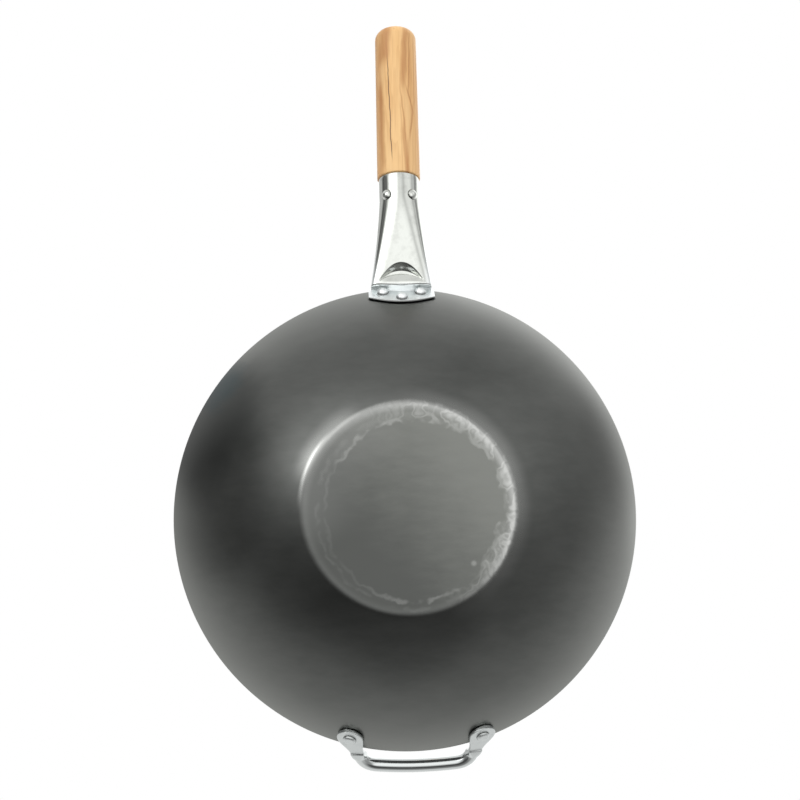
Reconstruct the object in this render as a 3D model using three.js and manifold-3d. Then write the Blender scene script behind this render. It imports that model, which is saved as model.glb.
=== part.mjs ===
// A flat-bottomed wok with a pinned wooden grip in a riveted steel socket and a riveted helper handle.
// Millimetres, +Z up. The origin is the centre of the base's underside, and +X points along the long handle.
import * as THREE from 'three';
import { mergeVertices } from 'three/addons/utils/BufferGeometryUtils.js';
import Module from 'manifold-3d';

const wasm = await Module();
wasm.setup();

// Clearance between pieces that touch, and under the flat rivet heads on the hollow inside of the bowl
const FIT_GAP = 0.3;
const INNER_HEAD_GAP = 0.6;

// Bowl
const RIM_RADIUS = 177.8;
const WOK_DEPTH = 95;
const BASE_RADIUS = 74.5;
const BASE_BEND = 12;
const BASE_SLOPE = 27;
const BOWL_WALL = 1.6;

// Rivets: a dome head outside and a low head inside
const RIVET_SHANK = 2.6;
const RIVET_INNER_HEAD = 5.2;
const RIVET_INNER_DOME = 1.5;
const SOCKET_RIVET_HEAD = 4.5;
const SOCKET_RIVET_DOME = 4;
const HELPER_RIVET_HEAD = 5.1;
const HELPER_RIVET_DOME = 2.4;

// Handle socket: depths are measured down the side from the rim
const SOCKET_RADIUS = 15.9;
const SOCKET_SHEET = 1.4;
const SOCKET_STRAIGHT = 19.5;
const SOCKET_FLARE = 69;
const HANDLE_ELEVATION = 12;
const LIP_DEPTH = 7.5;
const LIP_BOW = 8.5;
const LIP_HEIGHT = 8;
const LIP_ROUND = 4.6;
const LIP_WIDTH = 46.8;
const TOP_RISE = 2;
const FLANGE_WIDTH = 51;
const FLANGE_BOW = 11.6;
const FLANGE_MARGIN = 2.4;
const SOCKET_RIVET_ROOM = 1.64;
const SOCKET_RIVET_SPREAD = 28.6;
const SOCKET_RIVET_PITCH = 10;

// Crescent dent in the socket's underside
const DENT_WIDTH = 34;
const DENT_LENGTH = 9.3;
const DENT_DEPTH = 4.5;
const DENT_FROM_LIP = 5.8;
const DENT_SAG = 8.6;

// Wooden grip and its pins
const GRIP_LENGTH = 131;
const GRIP_RADIUS = 16.9;
const GRIP_TIP_RADIUS = 16.4;
const GRIP_ROUND = 8.6;
const GRIP_SHOULDER_ROUND = 0.8;
const TENON_LENGTH = 28;
const PIN_DEPTH = 18;
const PIN_ANGLE = 40;
const PIN_SHANK = 1.8;
const PIN_LENGTH = 11;
const PIN_HEAD = 4.4;
const PIN_DOME = 2.6;

// Helper handle: it stands opposite the long handle, a little out of line and out of level
const HELPER_TURN = 1.7;
const HELPER_SKEW = 1.9;
const HELPER_ROD = 5.25;
const HELPER_REACH = 13.7;
const HELPER_RISE = 16.5;
const HELPER_BAR = 86;
const HELPER_BOW = 3.7;
const HELPER_CORNER = 13;
const HELPER_RIVET_SPREAD = 99;
const HELPER_RIVET_DEPTH = 11.5;
const TAB_RADIUS = 10;
const TAB_THICKNESS = 3;
const TAB_LENGTH = 19;
const TAB_LEAN = 25;
const TAB_STEP = 8;
const FACE_STEP = 0.7;

// Smoothness of the solids
const BOWL_SEGMENTS = 72;
const TURNED_SEGMENTS = 32;
const RIVET_SEGMENTS = 16;
const SOCKET_SIDES = 40;
const ROD_SIDES = 16;
const SIDE_STEPS = 9;
const BEND_STEPS = 3;
const FLANGE_STEPS = 5;
const LIP_STEPS = 4;
const DENT_STEPS = 14;
const FLARE_STEPS = 6;
const TAB_END_STEPS = 4;
const TAB_NECK_STEPS = 4;
const CORNER_STEPS = 9;
const BAR_STEPS = 4;
const HEAD_STEPS = 4;
const TIP_STEPS = 6;

// Shape of the sections: 2 is an ellipse, more is squarer. Pull is how close a bend keeps to its corner
const FLAT_SQUARENESS = 8;
const LIP_SQUARENESS = 4;
const ROUND_SQUARENESS = 2;
const CORNER_PULL = 0.7;

// Shares of its narrowing that the socket has made a third and two thirds of the way along its flare
const EARLY_NARROWING = 0.53;
const LATE_NARROWING = 0.8;

// Share of the flange's height over which it widens below the lip
const FLANGE_TAPER = 0.4;

// Shares of the dent's length at which its crease beside the lip ends and its wall towards the mouth begins,
// and the share of its depth by which it sinks the lip beside it
const DENT_CREASE = 0.14;
const DENT_FLOOR = 0.42;
const DENT_OPEN = 0.4;

const toRadians = THREE.MathUtils.degToRad;
const { lerp, smoothstep } = THREE.MathUtils;

// Side of the bowl: one arc that leaves the base bend at BASE_SLOPE and ends at the rim
const bendTop = new THREE.Vector2(
  BASE_RADIUS + BASE_BEND * Math.sin(toRadians(BASE_SLOPE)),
  BASE_BEND * (1 - Math.cos(toRadians(BASE_SLOPE))),
);
const sideChord = new THREE.Vector2(RIM_RADIUS, WOK_DEPTH).sub(bendTop);
const sideTurn = 2 * (sideChord.angle() - toRadians(BASE_SLOPE));
const SIDE_RADIUS = sideChord.length() / (2 * Math.sin(sideTurn / 2));
const RIM_SLOPE = toRadians(BASE_SLOPE) + sideTurn;
const sideCentre = new THREE.Vector2(
  RIM_RADIUS - SIDE_RADIUS * Math.sin(RIM_SLOPE),
  WOK_DEPTH + SIDE_RADIUS * Math.cos(RIM_SLOPE),
);

function slopeAt(depth) {
  return RIM_SLOPE - depth / SIDE_RADIUS;
}

// Point in the XZ plane at a depth down the side, offset outwards from the outer surface
function sidePoint(depth, offset) {
  const slope = slopeAt(depth);
  const radius = SIDE_RADIUS + offset;
  return new THREE.Vector3(
    sideCentre.x + radius * Math.sin(slope),
    0,
    sideCentre.y - radius * Math.cos(slope),
  );
}

function sideNormal(depth) {
  const slope = slopeAt(depth);
  return new THREE.Vector3(Math.sin(slope), 0, -Math.cos(slope));
}

// Seat of a rivet: a matrix whose +Z is the outward normal of the side, at a depth and a sideways distance
function rivetSeat(depth, sideways) {
  const point = sidePoint(depth, 0);
  const azimuth = Math.asin(sideways / point.x);
  const upright = new THREE.Quaternion().setFromUnitVectors(new THREE.Vector3(0, 0, 1), sideNormal(depth));
  const around = new THREE.Quaternion().setFromAxisAngle(new THREE.Vector3(0, 0, 1), azimuth);
  return new THREE.Matrix4().compose(
    point.applyQuaternion(around),
    around.multiply(upright),
    new THREE.Vector3(1, 1, 1),
  );
}

// Solids

function weld(geometry) {
  const bare = new THREE.BufferGeometry();
  bare.setAttribute('position', geometry.getAttribute('position'));
  bare.setIndex(geometry.getIndex());
  const merged = mergeVertices(bare, 1e-4);
  const kept = [];
  const index = merged.getIndex().array;
  for (let i = 0; i < index.length; i += 3) {
    const [a, b, c] = [index[i], index[i + 1], index[i + 2]];
    if (a !== b && b !== c && c !== a) kept.push(a, b, c);
  }
  merged.setIndex(kept);
  return merged;
}

function solidOf(geometry) {
  const merged = weld(geometry);
  return new wasm.Manifold(new wasm.Mesh({
    numProp: 3,
    vertProperties: new Float32Array(merged.getAttribute('position').array),
    triVerts: new Uint32Array(merged.getIndex().array),
  }));
}

function geometryOf(solid) {
  const mesh = solid.getMesh();
  const geometry = new THREE.BufferGeometry();
  geometry.setAttribute('position', new THREE.BufferAttribute(mesh.vertProperties, 3));
  geometry.setIndex(new THREE.BufferAttribute(mesh.triVerts, 1));
  geometry.computeVertexNormals();
  return geometry;
}

function cutHoles(geometry, holes) {
  let solid = solidOf(geometry);
  for (const hole of holes) solid = solid.subtract(solidOf(hole));
  return geometryOf(solid);
}

// Round hole along a seat's Z axis, between two heights
function roundHole(seat, radius, low, high) {
  const hole = new THREE.CylinderGeometry(radius, radius, high - low, RIVET_SEGMENTS);
  hole.rotateX(Math.PI / 2).translate(0, 0, (low + high) / 2);
  return hole.applyMatrix4(seat);
}

// Body turned about Z from [radius, height] points that start and end on the axis and go up outside
function turned(profile, segments) {
  const points = profile.map(([radius, height]) => new THREE.Vector2(radius, height));
  return weld(new THREE.LatheGeometry(points, segments).rotateX(Math.PI / 2));
}

// Points of an arc, from one angle to another, without its first point
function arcPoints(centre, radius, start, end, steps) {
  const points = [];
  for (let i = 1; i <= steps; i += 1) {
    const angle = lerp(start, end, i / steps);
    points.push([centre[0] + radius * Math.cos(angle), centre[1] + radius * Math.sin(angle)]);
  }
  return points;
}

// Closed skin over rings of equal size. In each ring, point i and point n - i face each other across the ring
function skin(rings) {
  const sides = rings[0].length;
  const positions = rings.flat().flatMap((point) => point.toArray());
  const index = [];
  for (let r = 0; r + 1 < rings.length; r += 1) {
    for (let i = 0; i < sides; i += 1) {
      const j = (i + 1) % sides;
      const [a, b] = [r * sides + i, r * sides + j];
      index.push(a, b + sides, b, a, a + sides, b + sides);
    }
  }
  for (let i = 0; i < sides / 2; i += 1) {
    const [a, b] = [i, i + 1];
    const [c, d] = [(sides - i) % sides, sides - i - 1];
    const last = (rings.length - 1) * sides;
    index.push(a, d, c, a, b, d);
    index.push(last + a, last + c, last + d, last + a, last + d, last + b);
  }
  const geometry = new THREE.BufferGeometry();
  geometry.setAttribute('position', new THREE.Float32BufferAttribute(positions, 3));
  geometry.setIndex(index);
  return weld(geometry);
}

// Height of a rounded section at a sideways share from -1 to 1
function roundedHeight(share, squareness) {
  return (1 - Math.abs(share) ** squareness) ** (1 / squareness);
}

// Bowl

function bowlProfile() {
  const inner = SIDE_RADIUS - BOWL_WALL;
  const innerRimSlope = Math.acos((sideCentre.y - WOK_DEPTH) / inner);
  const down = -Math.PI / 2;
  const baseSlope = toRadians(BASE_SLOPE);
  const bend = [BASE_RADIUS, BASE_BEND];
  const side = sideCentre.toArray();
  return [
    [0, 0],
    [BASE_RADIUS, 0],
    ...arcPoints(bend, BASE_BEND, down, down + baseSlope, BEND_STEPS),
    ...arcPoints(side, SIDE_RADIUS, down + baseSlope, down + RIM_SLOPE, SIDE_STEPS),
    [side[0] + inner * Math.sin(innerRimSlope), WOK_DEPTH],
    ...arcPoints(side, inner, down + innerRimSlope, down + baseSlope, SIDE_STEPS),
    ...arcPoints(bend, BASE_BEND - BOWL_WALL, down + baseSlope, down, BEND_STEPS),
    [0, BOWL_WALL],
  ];
}

// Rivets and pins

// Outside stack under a rivet's head, above the outer surface of the side
const socketStack = FIT_GAP + SOCKET_SHEET;
const helperStack = FIT_GAP + TAB_THICKNESS;

// Dome of a head, from its edge on its base to its crown on the axis
function domeProfile(radius, height, base, direction) {
  const sphere = (radius * radius + height * height) / (2 * height);
  const half = Math.asin(radius / sphere);
  const points = [];
  for (let i = 0; i <= HEAD_STEPS; i += 1) {
    const angle = half * (1 - i / HEAD_STEPS);
    const rise = sphere * (Math.cos(angle) - Math.cos(half));
    points.push([sphere * Math.sin(angle), base + direction * rise]);
  }
  return points;
}

function rivetGeometry(stack, head, dome) {
  const headBase = stack + FIT_GAP;
  const innerBase = -BOWL_WALL - INNER_HEAD_GAP;
  return turned([
    ...domeProfile(RIVET_INNER_HEAD, RIVET_INNER_DOME, innerBase, -1).reverse(),
    [RIVET_SHANK, innerBase],
    [RIVET_SHANK, headBase],
    ...domeProfile(head, dome, headBase, 1),
  ], RIVET_SEGMENTS);
}

function pinGeometry() {
  const headBase = SOCKET_RADIUS + FIT_GAP;
  return turned([
    [0, headBase - PIN_LENGTH],
    [PIN_SHANK, headBase - PIN_LENGTH],
    [PIN_SHANK, headBase],
    ...domeProfile(PIN_HEAD, PIN_DOME, headBase, 1),
  ], RIVET_SEGMENTS);
}

const rivetHole = RIVET_SHANK + FIT_GAP;
const lipDepthAtRivets = LIP_DEPTH - LIP_BOW * (SOCKET_RIVET_SPREAD / LIP_WIDTH) ** 2;
const upperRivetDepth = lipDepthAtRivets + SOCKET_RIVET_HEAD + SOCKET_RIVET_ROOM;
const lowerRivetDepth = upperRivetDepth + SOCKET_RIVET_PITCH;
const flangeReach = lowerRivetDepth + SOCKET_RIVET_HEAD + FLANGE_MARGIN;
const socketSeats = {
  left: rivetSeat(upperRivetDepth, -SOCKET_RIVET_SPREAD / 2),
  right: rivetSeat(upperRivetDepth, SOCKET_RIVET_SPREAD / 2),
  lower: rivetSeat(lowerRivetDepth, 0),
};

// Helper's seats, laid out as if it stood at +X, and its turn into place. Side is 1 for left, -1 for right
const helperTurn = new THREE.Matrix4().makeRotationZ(Math.PI - toRadians(HELPER_TURN));
const helperSeat = (side) => (
  rivetSeat(HELPER_RIVET_DEPTH + side * HELPER_SKEW, (side * HELPER_RIVET_SPREAD) / 2)
);
const helperSeats = {
  left: helperSeat(1).premultiply(helperTurn),
  right: helperSeat(-1).premultiply(helperTurn),
};

function bowlGeometry() {
  const seats = [...Object.values(socketSeats), ...Object.values(helperSeats)];
  const through = BOWL_WALL + FIT_GAP;
  const holes = seats.map((seat) => roundHole(seat, rivetHole, -2 * through, through));
  return cutHoles(turned(bowlProfile(), BOWL_SEGMENTS), holes);
}

// Handle line: the socket's top and underside leave the side and the lip and close in on the round mouth

const elevation = toRadians(HANDLE_ELEVATION);
const axis = new THREE.Vector3(Math.cos(elevation), 0, Math.sin(elevation));
const under = new THREE.Vector3(axis.z, 0, -axis.x);
const openTop = sidePoint(-TOP_RISE, FIT_GAP);
const lipRidge = sidePoint(LIP_DEPTH, socketStack + LIP_HEIGHT);
const handleStart = openTop.clone().lerp(lipRidge, 0.5);
const flareEnd = handleStart.clone().addScaledVector(axis, SOCKET_FLARE);
const mouth = flareEnd.clone().addScaledVector(axis, SOCKET_STRAIGHT);

// Curve that leaves one point straight for the other and arrives along the handle's axis
function flareCurve(from, to) {
  const third = from.distanceTo(to) / 3;
  return new THREE.CubicBezierCurve3(
    from,
    from.clone().lerp(to, 1 / 3),
    to.clone().addScaledVector(axis, -third),
    to,
  );
}

const topCurve = flareCurve(openTop, flareEnd.clone().addScaledVector(under, -SOCKET_RADIUS));
const underCurve = flareCurve(lipRidge, flareEnd.clone().addScaledVector(under, SOCKET_RADIUS));
const widthCurve = new THREE.CubicBezierCurve(
  new THREE.Vector2(0, LIP_WIDTH / 2),
  new THREE.Vector2(1 / 3, lerp(LIP_WIDTH / 2, SOCKET_RADIUS, EARLY_NARROWING)),
  new THREE.Vector2(2 / 3, lerp(LIP_WIDTH / 2, SOCKET_RADIUS, LATE_NARROWING)),
  new THREE.Vector2(1, SOCKET_RADIUS),
);

// Underside of the lip in depths and offsets of the side: straight out from the flange, then along the handle
const lipTurn = slopeAt(LIP_DEPTH) - elevation;
const lipCurve = new THREE.CubicBezierCurve(
  new THREE.Vector2(LIP_DEPTH, socketStack),
  new THREE.Vector2(LIP_DEPTH, socketStack + LIP_HEIGHT * 0.4),
  new THREE.Vector2(Math.cos(lipTurn), -Math.sin(lipTurn)).multiplyScalar(LIP_ROUND)
    .add(new THREE.Vector2(LIP_DEPTH, socketStack + LIP_HEIGHT)),
  new THREE.Vector2(LIP_DEPTH, socketStack + LIP_HEIGHT),
);

// Points round a section as shares of its half width and half height, with the underside first
function sectionShares(sides, squareness) {
  return Array.from({ length: sides }, (_, i) => {
    const angle = (2 * Math.PI * i) / sides;
    const across = Math.cos(angle);
    return [across, Math.sign(Math.sin(angle)) * roundedHeight(across, squareness)];
  });
}

// Ring on the side of the bowl between two [depth, offset] points. Bow draws its edges up towards the rim
function sideRing({ top, bottom, halfWidth, squareness, bow }) {
  return sectionShares(SOCKET_SIDES, squareness).map(([across, rise]) => {
    const place = top.clone().lerp(bottom, (1 + rise) / 2);
    const point = sidePoint(place.x - bow * across * across, place.y);
    const sideways = across * halfWidth;
    return new THREE.Vector3(Math.sqrt(point.x * point.x - sideways * sideways), sideways, point.z);
  });
}

function flangeRing(share) {
  const depth = lerp(LIP_DEPTH, flangeReach, share);
  return sideRing({
    top: new THREE.Vector2(depth, FIT_GAP),
    bottom: new THREE.Vector2(depth, socketStack),
    halfWidth: lerp(LIP_WIDTH, FLANGE_WIDTH, smoothstep(share, 0, FLANGE_TAPER)) / 2,
    squareness: FLAT_SQUARENESS,
    bow: lerp(LIP_BOW, FLANGE_BOW, share),
  });
}

function lipRing(share) {
  return sideRing({
    top: new THREE.Vector2(lerp(LIP_DEPTH, -TOP_RISE, share), FIT_GAP),
    bottom: lipCurve.getPoint(share),
    halfWidth: LIP_WIDTH / 2,
    squareness: lerp(FLAT_SQUARENESS, LIP_SQUARENESS, share),
    bow: LIP_BOW * (1 - share),
  });
}

// Even slope from 0 at low to 1 at high, with softened ends
function eased(value, low, high) {
  const share = THREE.MathUtils.clamp((value - low) / (high - low), 0, 1);
  return 0.75 * share + 0.25 * smoothstep(share, 0, 1);
}

// Depth of the dent at a distance from the lip's ridge and a sideways distance
function dentAt(distance, sideways) {
  const share = (2 * sideways) / DENT_WIDTH;
  const narrowing = 1 - share * share;
  if (narrowing <= 0) return 0;
  const start = DENT_FROM_LIP + (DENT_LENGTH * (1 - narrowing)) / 2 - DENT_SAG * share * share;
  const along = (distance - start) / (DENT_LENGTH * narrowing);
  const sunken = lerp(eased(along, 0, DENT_CREASE), eased(distance / start, 0, 1), DENT_OPEN);
  return DENT_DEPTH * sunken * (1 - eased(along, DENT_FLOOR, 1)) * narrowing ** 0.7;
}

// Ring of the flare. Its wrap round the bowl fades out along the handle, and sheet sets it in for the bore
function flareRing(share, sheet = 0) {
  const top = topCurve.getPoint(share);
  const bottom = underCurve.getPoint(share);
  const across = bottom.clone().sub(top).normalize();
  const middle = top.clone().lerp(bottom, 0.5);
  const halfHeight = top.distanceTo(bottom) / 2 - sheet;
  const halfWidth = widthCurve.getPoint(share).y - sheet;
  const fromLip = bottom.distanceTo(lipRidge);
  const wrap = (1 - share) ** 4;
  const squareness = lerp(LIP_SQUARENESS, ROUND_SQUARENESS, Math.sqrt(share));
  return sectionShares(SOCKET_SIDES, squareness).map(([wide, rise]) => {
    const sideways = wide * halfWidth;
    const dent = rise > 0 ? dentAt(fromLip, sideways) : 0;
    const point = middle.clone().addScaledVector(across, rise * halfHeight - dent);
    const wrapped = Math.sqrt(point.x * point.x - sideways * sideways);
    return new THREE.Vector3(lerp(point.x, wrapped, wrap), sideways, point.z);
  });
}

function mouthRing(sheet) {
  const radius = SOCKET_RADIUS - sheet;
  return sectionShares(SOCKET_SIDES, ROUND_SQUARENESS).map(([wide, rise]) => (
    mouth.clone().addScaledVector(under, rise * radius).setY(wide * radius)
  ));
}

// Shares along the flare at which the socket has a ring: close together through the dent
const dentShare = (DENT_FROM_LIP + DENT_LENGTH) / SOCKET_FLARE;
const flareShares = [
  ...Array.from({ length: DENT_STEPS }, (_, i) => (dentShare * (i + 1)) / DENT_STEPS),
  ...Array.from({ length: FLARE_STEPS }, (_, i) => lerp(dentShare, 1, (i + 1) / FLARE_STEPS)),
];
const boreShares = flareShares.filter((share) => share * SOCKET_FLARE > 2 * SOCKET_SHEET);

function pinSeat(side) {
  const place = mouth.clone().addScaledVector(axis, -PIN_DEPTH);
  const outward = under.clone().applyAxisAngle(axis, side * toRadians(PIN_ANGLE));
  const turn = new THREE.Quaternion().setFromUnitVectors(new THREE.Vector3(0, 0, 1), outward);
  return new THREE.Matrix4().compose(place, turn, new THREE.Vector3(1, 1, 1));
}

const pinSeats = { left: pinSeat(-1), right: pinSeat(1) };
const pinHole = PIN_SHANK + FIT_GAP;

function socketGeometry() {
  const rings = [];
  for (let i = FLANGE_STEPS; i >= 0; i -= 1) rings.push(flangeRing(i / FLANGE_STEPS));
  for (let i = 1; i <= LIP_STEPS; i += 1) rings.push(lipRing(i / LIP_STEPS));
  for (const share of flareShares) rings.push(flareRing(share));
  rings.push(mouthRing(0), mouthRing(SOCKET_SHEET));
  for (const share of boreShares.toReversed()) rings.push(flareRing(share, SOCKET_SHEET));
  const rivetHoles = Object.values(socketSeats).map((seat) => (
    roundHole(seat, rivetHole, -FIT_GAP, socketStack + FIT_GAP)
  ));
  const pinHoles = Object.values(pinSeats).map((seat) => (
    roundHole(seat, pinHole, SOCKET_RADIUS - 2 * SOCKET_SHEET, SOCKET_RADIUS + FIT_GAP)
  ));
  return cutHoles(skin(rings), [...rivetHoles, ...pinHoles]);
}

// Wooden grip, turned about the handle's axis with its shoulder at the mouth

const gripSeat = new THREE.Matrix4().compose(
  mouth.clone().addScaledVector(axis, FIT_GAP),
  new THREE.Quaternion().setFromUnitVectors(new THREE.Vector3(0, 0, 1), axis),
  new THREE.Vector3(1, 1, 1),
);

// Least distance from the handle's axis to the socket's inside at a distance back from the mouth
function boreRadius(back) {
  const share = 1 - Math.max(0, back - SOCKET_STRAIGHT) / SOCKET_FLARE;
  const fromAxis = (point) => Math.abs(point.clone().sub(mouth).dot(under));
  return Math.min(fromAxis(topCurve.getPoint(share)), fromAxis(underCurve.getPoint(share))) - SOCKET_SHEET;
}

function gripGeometry() {
  const tenon = SOCKET_RADIUS - SOCKET_SHEET - FIT_GAP;
  const tenonEnd = boreRadius(TENON_LENGTH) - 2 * FIT_GAP;
  const shoulder = [GRIP_RADIUS - GRIP_SHOULDER_ROUND, GRIP_SHOULDER_ROUND];
  const tip = [GRIP_TIP_RADIUS - GRIP_ROUND, GRIP_LENGTH - GRIP_ROUND];
  const body = turned([
    [0, -TENON_LENGTH],
    [tenonEnd, -TENON_LENGTH],
    [tenon, -Math.min(SOCKET_STRAIGHT, TENON_LENGTH / 2)],
    [tenon, 0],
    [shoulder[0], 0],
    ...arcPoints(shoulder, GRIP_SHOULDER_ROUND, -Math.PI / 2, 0, 2),
    ...arcPoints(tip, GRIP_ROUND, 0, Math.PI / 2, TIP_STEPS),
    [0, GRIP_LENGTH],
  ], TURNED_SEGMENTS);
  const foot = SOCKET_RADIUS - PIN_LENGTH;
  const holes = Object.values(pinSeats).map((seat) => roundHole(seat, pinHole, foot, SOCKET_RADIUS));
  return cutHoles(body.applyMatrix4(gripSeat), holes);
}

// Helper handle, laid out as if it stood at +X and then turned into place

function helperTab(side) {
  const seat = helperSeat(side);
  const place = new THREE.Vector3().setFromMatrixPosition(seat);
  const normal = new THREE.Vector3(0, 0, 1).transformDirection(seat);
  const sideways = new THREE.Vector3(-place.y, place.x, 0).normalize();
  const along = normal.clone().cross(sideways).applyAxisAngle(normal, side * toRadians(TAB_LEAN));
  const middle = place.clone().addScaledVector(normal, FIT_GAP + TAB_THICKNESS / 2);
  return { side, middle, normal, along };
}

const helperTabs = [helperTab(1), helperTab(-1)];
const barMiddle = new THREE.Vector3(RIM_RADIUS + HELPER_REACH, 0, WOK_DEPTH + HELPER_RISE);
const tabMiddle = helperTabs[0].middle.clone().lerp(helperTabs[1].middle, 0.5);
const loopDirection = barMiddle.clone().sub(tabMiddle).normalize();
const barDirection = helperTabs[0].middle.clone().sub(helperTabs[1].middle).normalize();

// Ring across the helper handle. Wide and thick are its two directions
function helperRing({ centre, wide, thick, halfWidth, halfThickness, squareness }) {
  return sectionShares(ROD_SIDES, squareness).map(([across, rise]) => (
    centre.clone().addScaledVector(wide, halfWidth * across).addScaledVector(thick, halfThickness * rise)
  ));
}

// Flat tab, from its round free end to the step where the rod begins
function tabRings({ side, middle, normal, along }) {
  const rings = [];
  const addRing = (distance, halfWidth) => rings.push(helperRing({
    centre: middle.clone().addScaledVector(along, distance),
    wide: along.clone().cross(normal).multiplyScalar(side),
    thick: normal,
    halfWidth,
    halfThickness: TAB_THICKNESS / 2,
    squareness: FLAT_SQUARENESS,
  }));
  for (let i = 1; i <= TAB_END_STEPS; i += 1) {
    const angle = (Math.PI / 2) * (i / TAB_END_STEPS);
    addRing(-TAB_RADIUS * Math.cos(angle), TAB_RADIUS * Math.sin(angle));
  }
  for (let i = 1; i <= TAB_NECK_STEPS; i += 1) {
    const share = i / TAB_NECK_STEPS;
    addRing(TAB_LENGTH * share, lerp(TAB_RADIUS, HELPER_ROD, smoothstep(share, 0, 1)));
  }
  return rings;
}

// Half of the rod's line: from the step of a tab, round the corner and along the bowed bar to its middle
function rodPoints({ side, middle, along }) {
  const start = middle.clone().addScaledVector(along, TAB_LENGTH);
  const corner = barMiddle.clone()
    .addScaledVector(loopDirection, -HELPER_BOW)
    .addScaledVector(barDirection, (side * HELPER_BAR) / 2);
  const cornerShare = (2 * HELPER_CORNER) / HELPER_BAR;
  const crownRise = (HELPER_BOW * (1 - cornerShare)) / (1 + cornerShare);
  const crown = barMiddle.clone().addScaledVector(loopDirection, crownRise);
  const barStart = corner.clone().lerp(crown, cornerShare);
  const bend = new THREE.CubicBezierCurve3(
    start,
    start.clone().lerp(corner, CORNER_PULL),
    barStart.clone().lerp(corner, CORNER_PULL),
    barStart,
  );
  const bar = new THREE.QuadraticBezierCurve3(barStart, barStart.clone().lerp(crown, 0.5), barMiddle);
  return [...bend.getPoints(CORNER_STEPS), ...bar.getPoints(BAR_STEPS).slice(1)];
}

// Rings of half of the rod. It swells out of the back of the tab, and its face is a small step above the tab's
function rodRings(tab) {
  const points = rodPoints(tab);
  const last = points.length - 1;
  let travelled = 0;
  return points.slice(1).map((point, i) => {
    travelled += point.distanceTo(points[i]);
    const tangent = barDirection.clone().multiplyScalar(-tab.side);
    if (i + 1 < last) tangent.copy(points[i + 2]).sub(points[i]).normalize();
    const swell = smoothstep(travelled, 0, TAB_STEP);
    const level = tab.normal.clone().setY(tab.normal.y * (1 - (i + 1) / last));
    const thick = level.addScaledVector(tangent, -level.dot(tangent)).normalize();
    const face = TAB_THICKNESS / 2 + FACE_STEP * swell;
    const back = lerp(TAB_THICKNESS / 2, 2 * HELPER_ROD - TAB_THICKNESS / 2 - FACE_STEP, swell);
    return helperRing({
      centre: point.clone().addScaledVector(thick, (face - back) / 2),
      wide: tangent.clone().cross(thick).multiplyScalar(tab.side),
      thick,
      halfWidth: HELPER_ROD,
      halfThickness: (face + back) / 2,
      squareness: lerp(FLAT_SQUARENESS, ROUND_SQUARENESS, swell),
    });
  });
}

function helperGeometry() {
  const [left, right] = helperTabs.map((tab) => [...tabRings(tab), ...rodRings(tab)]);
  const rings = [...left, ...right.slice(0, -1).reverse()];
  const holes = Object.values(helperSeats).map((seat) => (
    roundHole(seat, rivetHole, -FIT_GAP, helperStack + FIT_GAP)
  ));
  return cutHoles(skin(rings).applyMatrix4(helperTurn), holes);
}

const group = new THREE.Group();

function addPiece(name, geometry, color, roughness, metalness, seat) {
  const mesh = new THREE.Mesh(geometry, new THREE.MeshStandardMaterial({ color, roughness, metalness }));
  mesh.name = name;
  if (seat) mesh.applyMatrix4(seat);
  group.add(mesh);
}

const STEEL = [0xd6d8d8, 0.18, 1];
addPiece('wok_body', bowlGeometry(), 0x4a4c4b, 0.42, 0.9);
addPiece('handle_socket', socketGeometry(), ...STEEL);
addPiece('helper_handle', helperGeometry(), ...STEEL);
addPiece('wooden_grip', gripGeometry(), 0xd9a868, 0.5, 0);
for (const [place, seat] of Object.entries(socketSeats)) {
  const rivet = rivetGeometry(socketStack, SOCKET_RIVET_HEAD, SOCKET_RIVET_DOME);
  addPiece(`socket_rivet_${place}`, rivet, ...STEEL, seat);
}
for (const [place, seat] of Object.entries(pinSeats)) {
  addPiece(`grip_pin_${place}`, pinGeometry(), ...STEEL, seat);
}
for (const [place, seat] of Object.entries(helperSeats)) {
  const rivet = rivetGeometry(helperStack, HELPER_RIVET_HEAD, HELPER_RIVET_DOME);
  addPiece(`helper_rivet_${place}`, rivet, ...STEEL, seat);
}

export default group;
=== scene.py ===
"""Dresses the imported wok: smooth bodies, their finishes, a studio and the camera.

Metres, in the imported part's frame: the base stands on the floor, +X points along the long handle and +Z
is up. The camera looks up at the underside, so the floor can be seen through from below.
"""

import logging
import math
from collections.abc import Iterator, Sequence
from dataclasses import dataclass, field
from enum import Enum
from functools import cached_property

import bmesh
import bpy
import numpy as np
from mathutils import Matrix, Vector


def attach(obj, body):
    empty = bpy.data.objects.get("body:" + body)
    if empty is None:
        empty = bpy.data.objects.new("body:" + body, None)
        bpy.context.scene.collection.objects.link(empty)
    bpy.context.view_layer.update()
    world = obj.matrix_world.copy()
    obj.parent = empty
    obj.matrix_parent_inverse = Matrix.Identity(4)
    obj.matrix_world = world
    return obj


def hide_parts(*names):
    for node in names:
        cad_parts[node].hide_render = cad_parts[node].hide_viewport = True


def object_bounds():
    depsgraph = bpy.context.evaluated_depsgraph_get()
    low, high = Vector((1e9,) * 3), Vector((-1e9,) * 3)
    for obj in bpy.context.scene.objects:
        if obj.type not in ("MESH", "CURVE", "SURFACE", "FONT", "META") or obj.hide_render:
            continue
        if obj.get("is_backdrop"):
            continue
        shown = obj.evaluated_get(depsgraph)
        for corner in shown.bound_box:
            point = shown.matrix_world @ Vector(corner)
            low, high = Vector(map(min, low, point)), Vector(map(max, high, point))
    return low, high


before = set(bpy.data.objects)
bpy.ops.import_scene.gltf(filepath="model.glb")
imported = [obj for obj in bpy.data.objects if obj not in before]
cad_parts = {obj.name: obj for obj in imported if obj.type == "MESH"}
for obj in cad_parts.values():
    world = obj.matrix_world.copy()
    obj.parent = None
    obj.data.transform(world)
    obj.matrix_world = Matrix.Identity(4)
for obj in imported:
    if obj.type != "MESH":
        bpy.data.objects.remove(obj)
cad_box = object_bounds()

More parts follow.
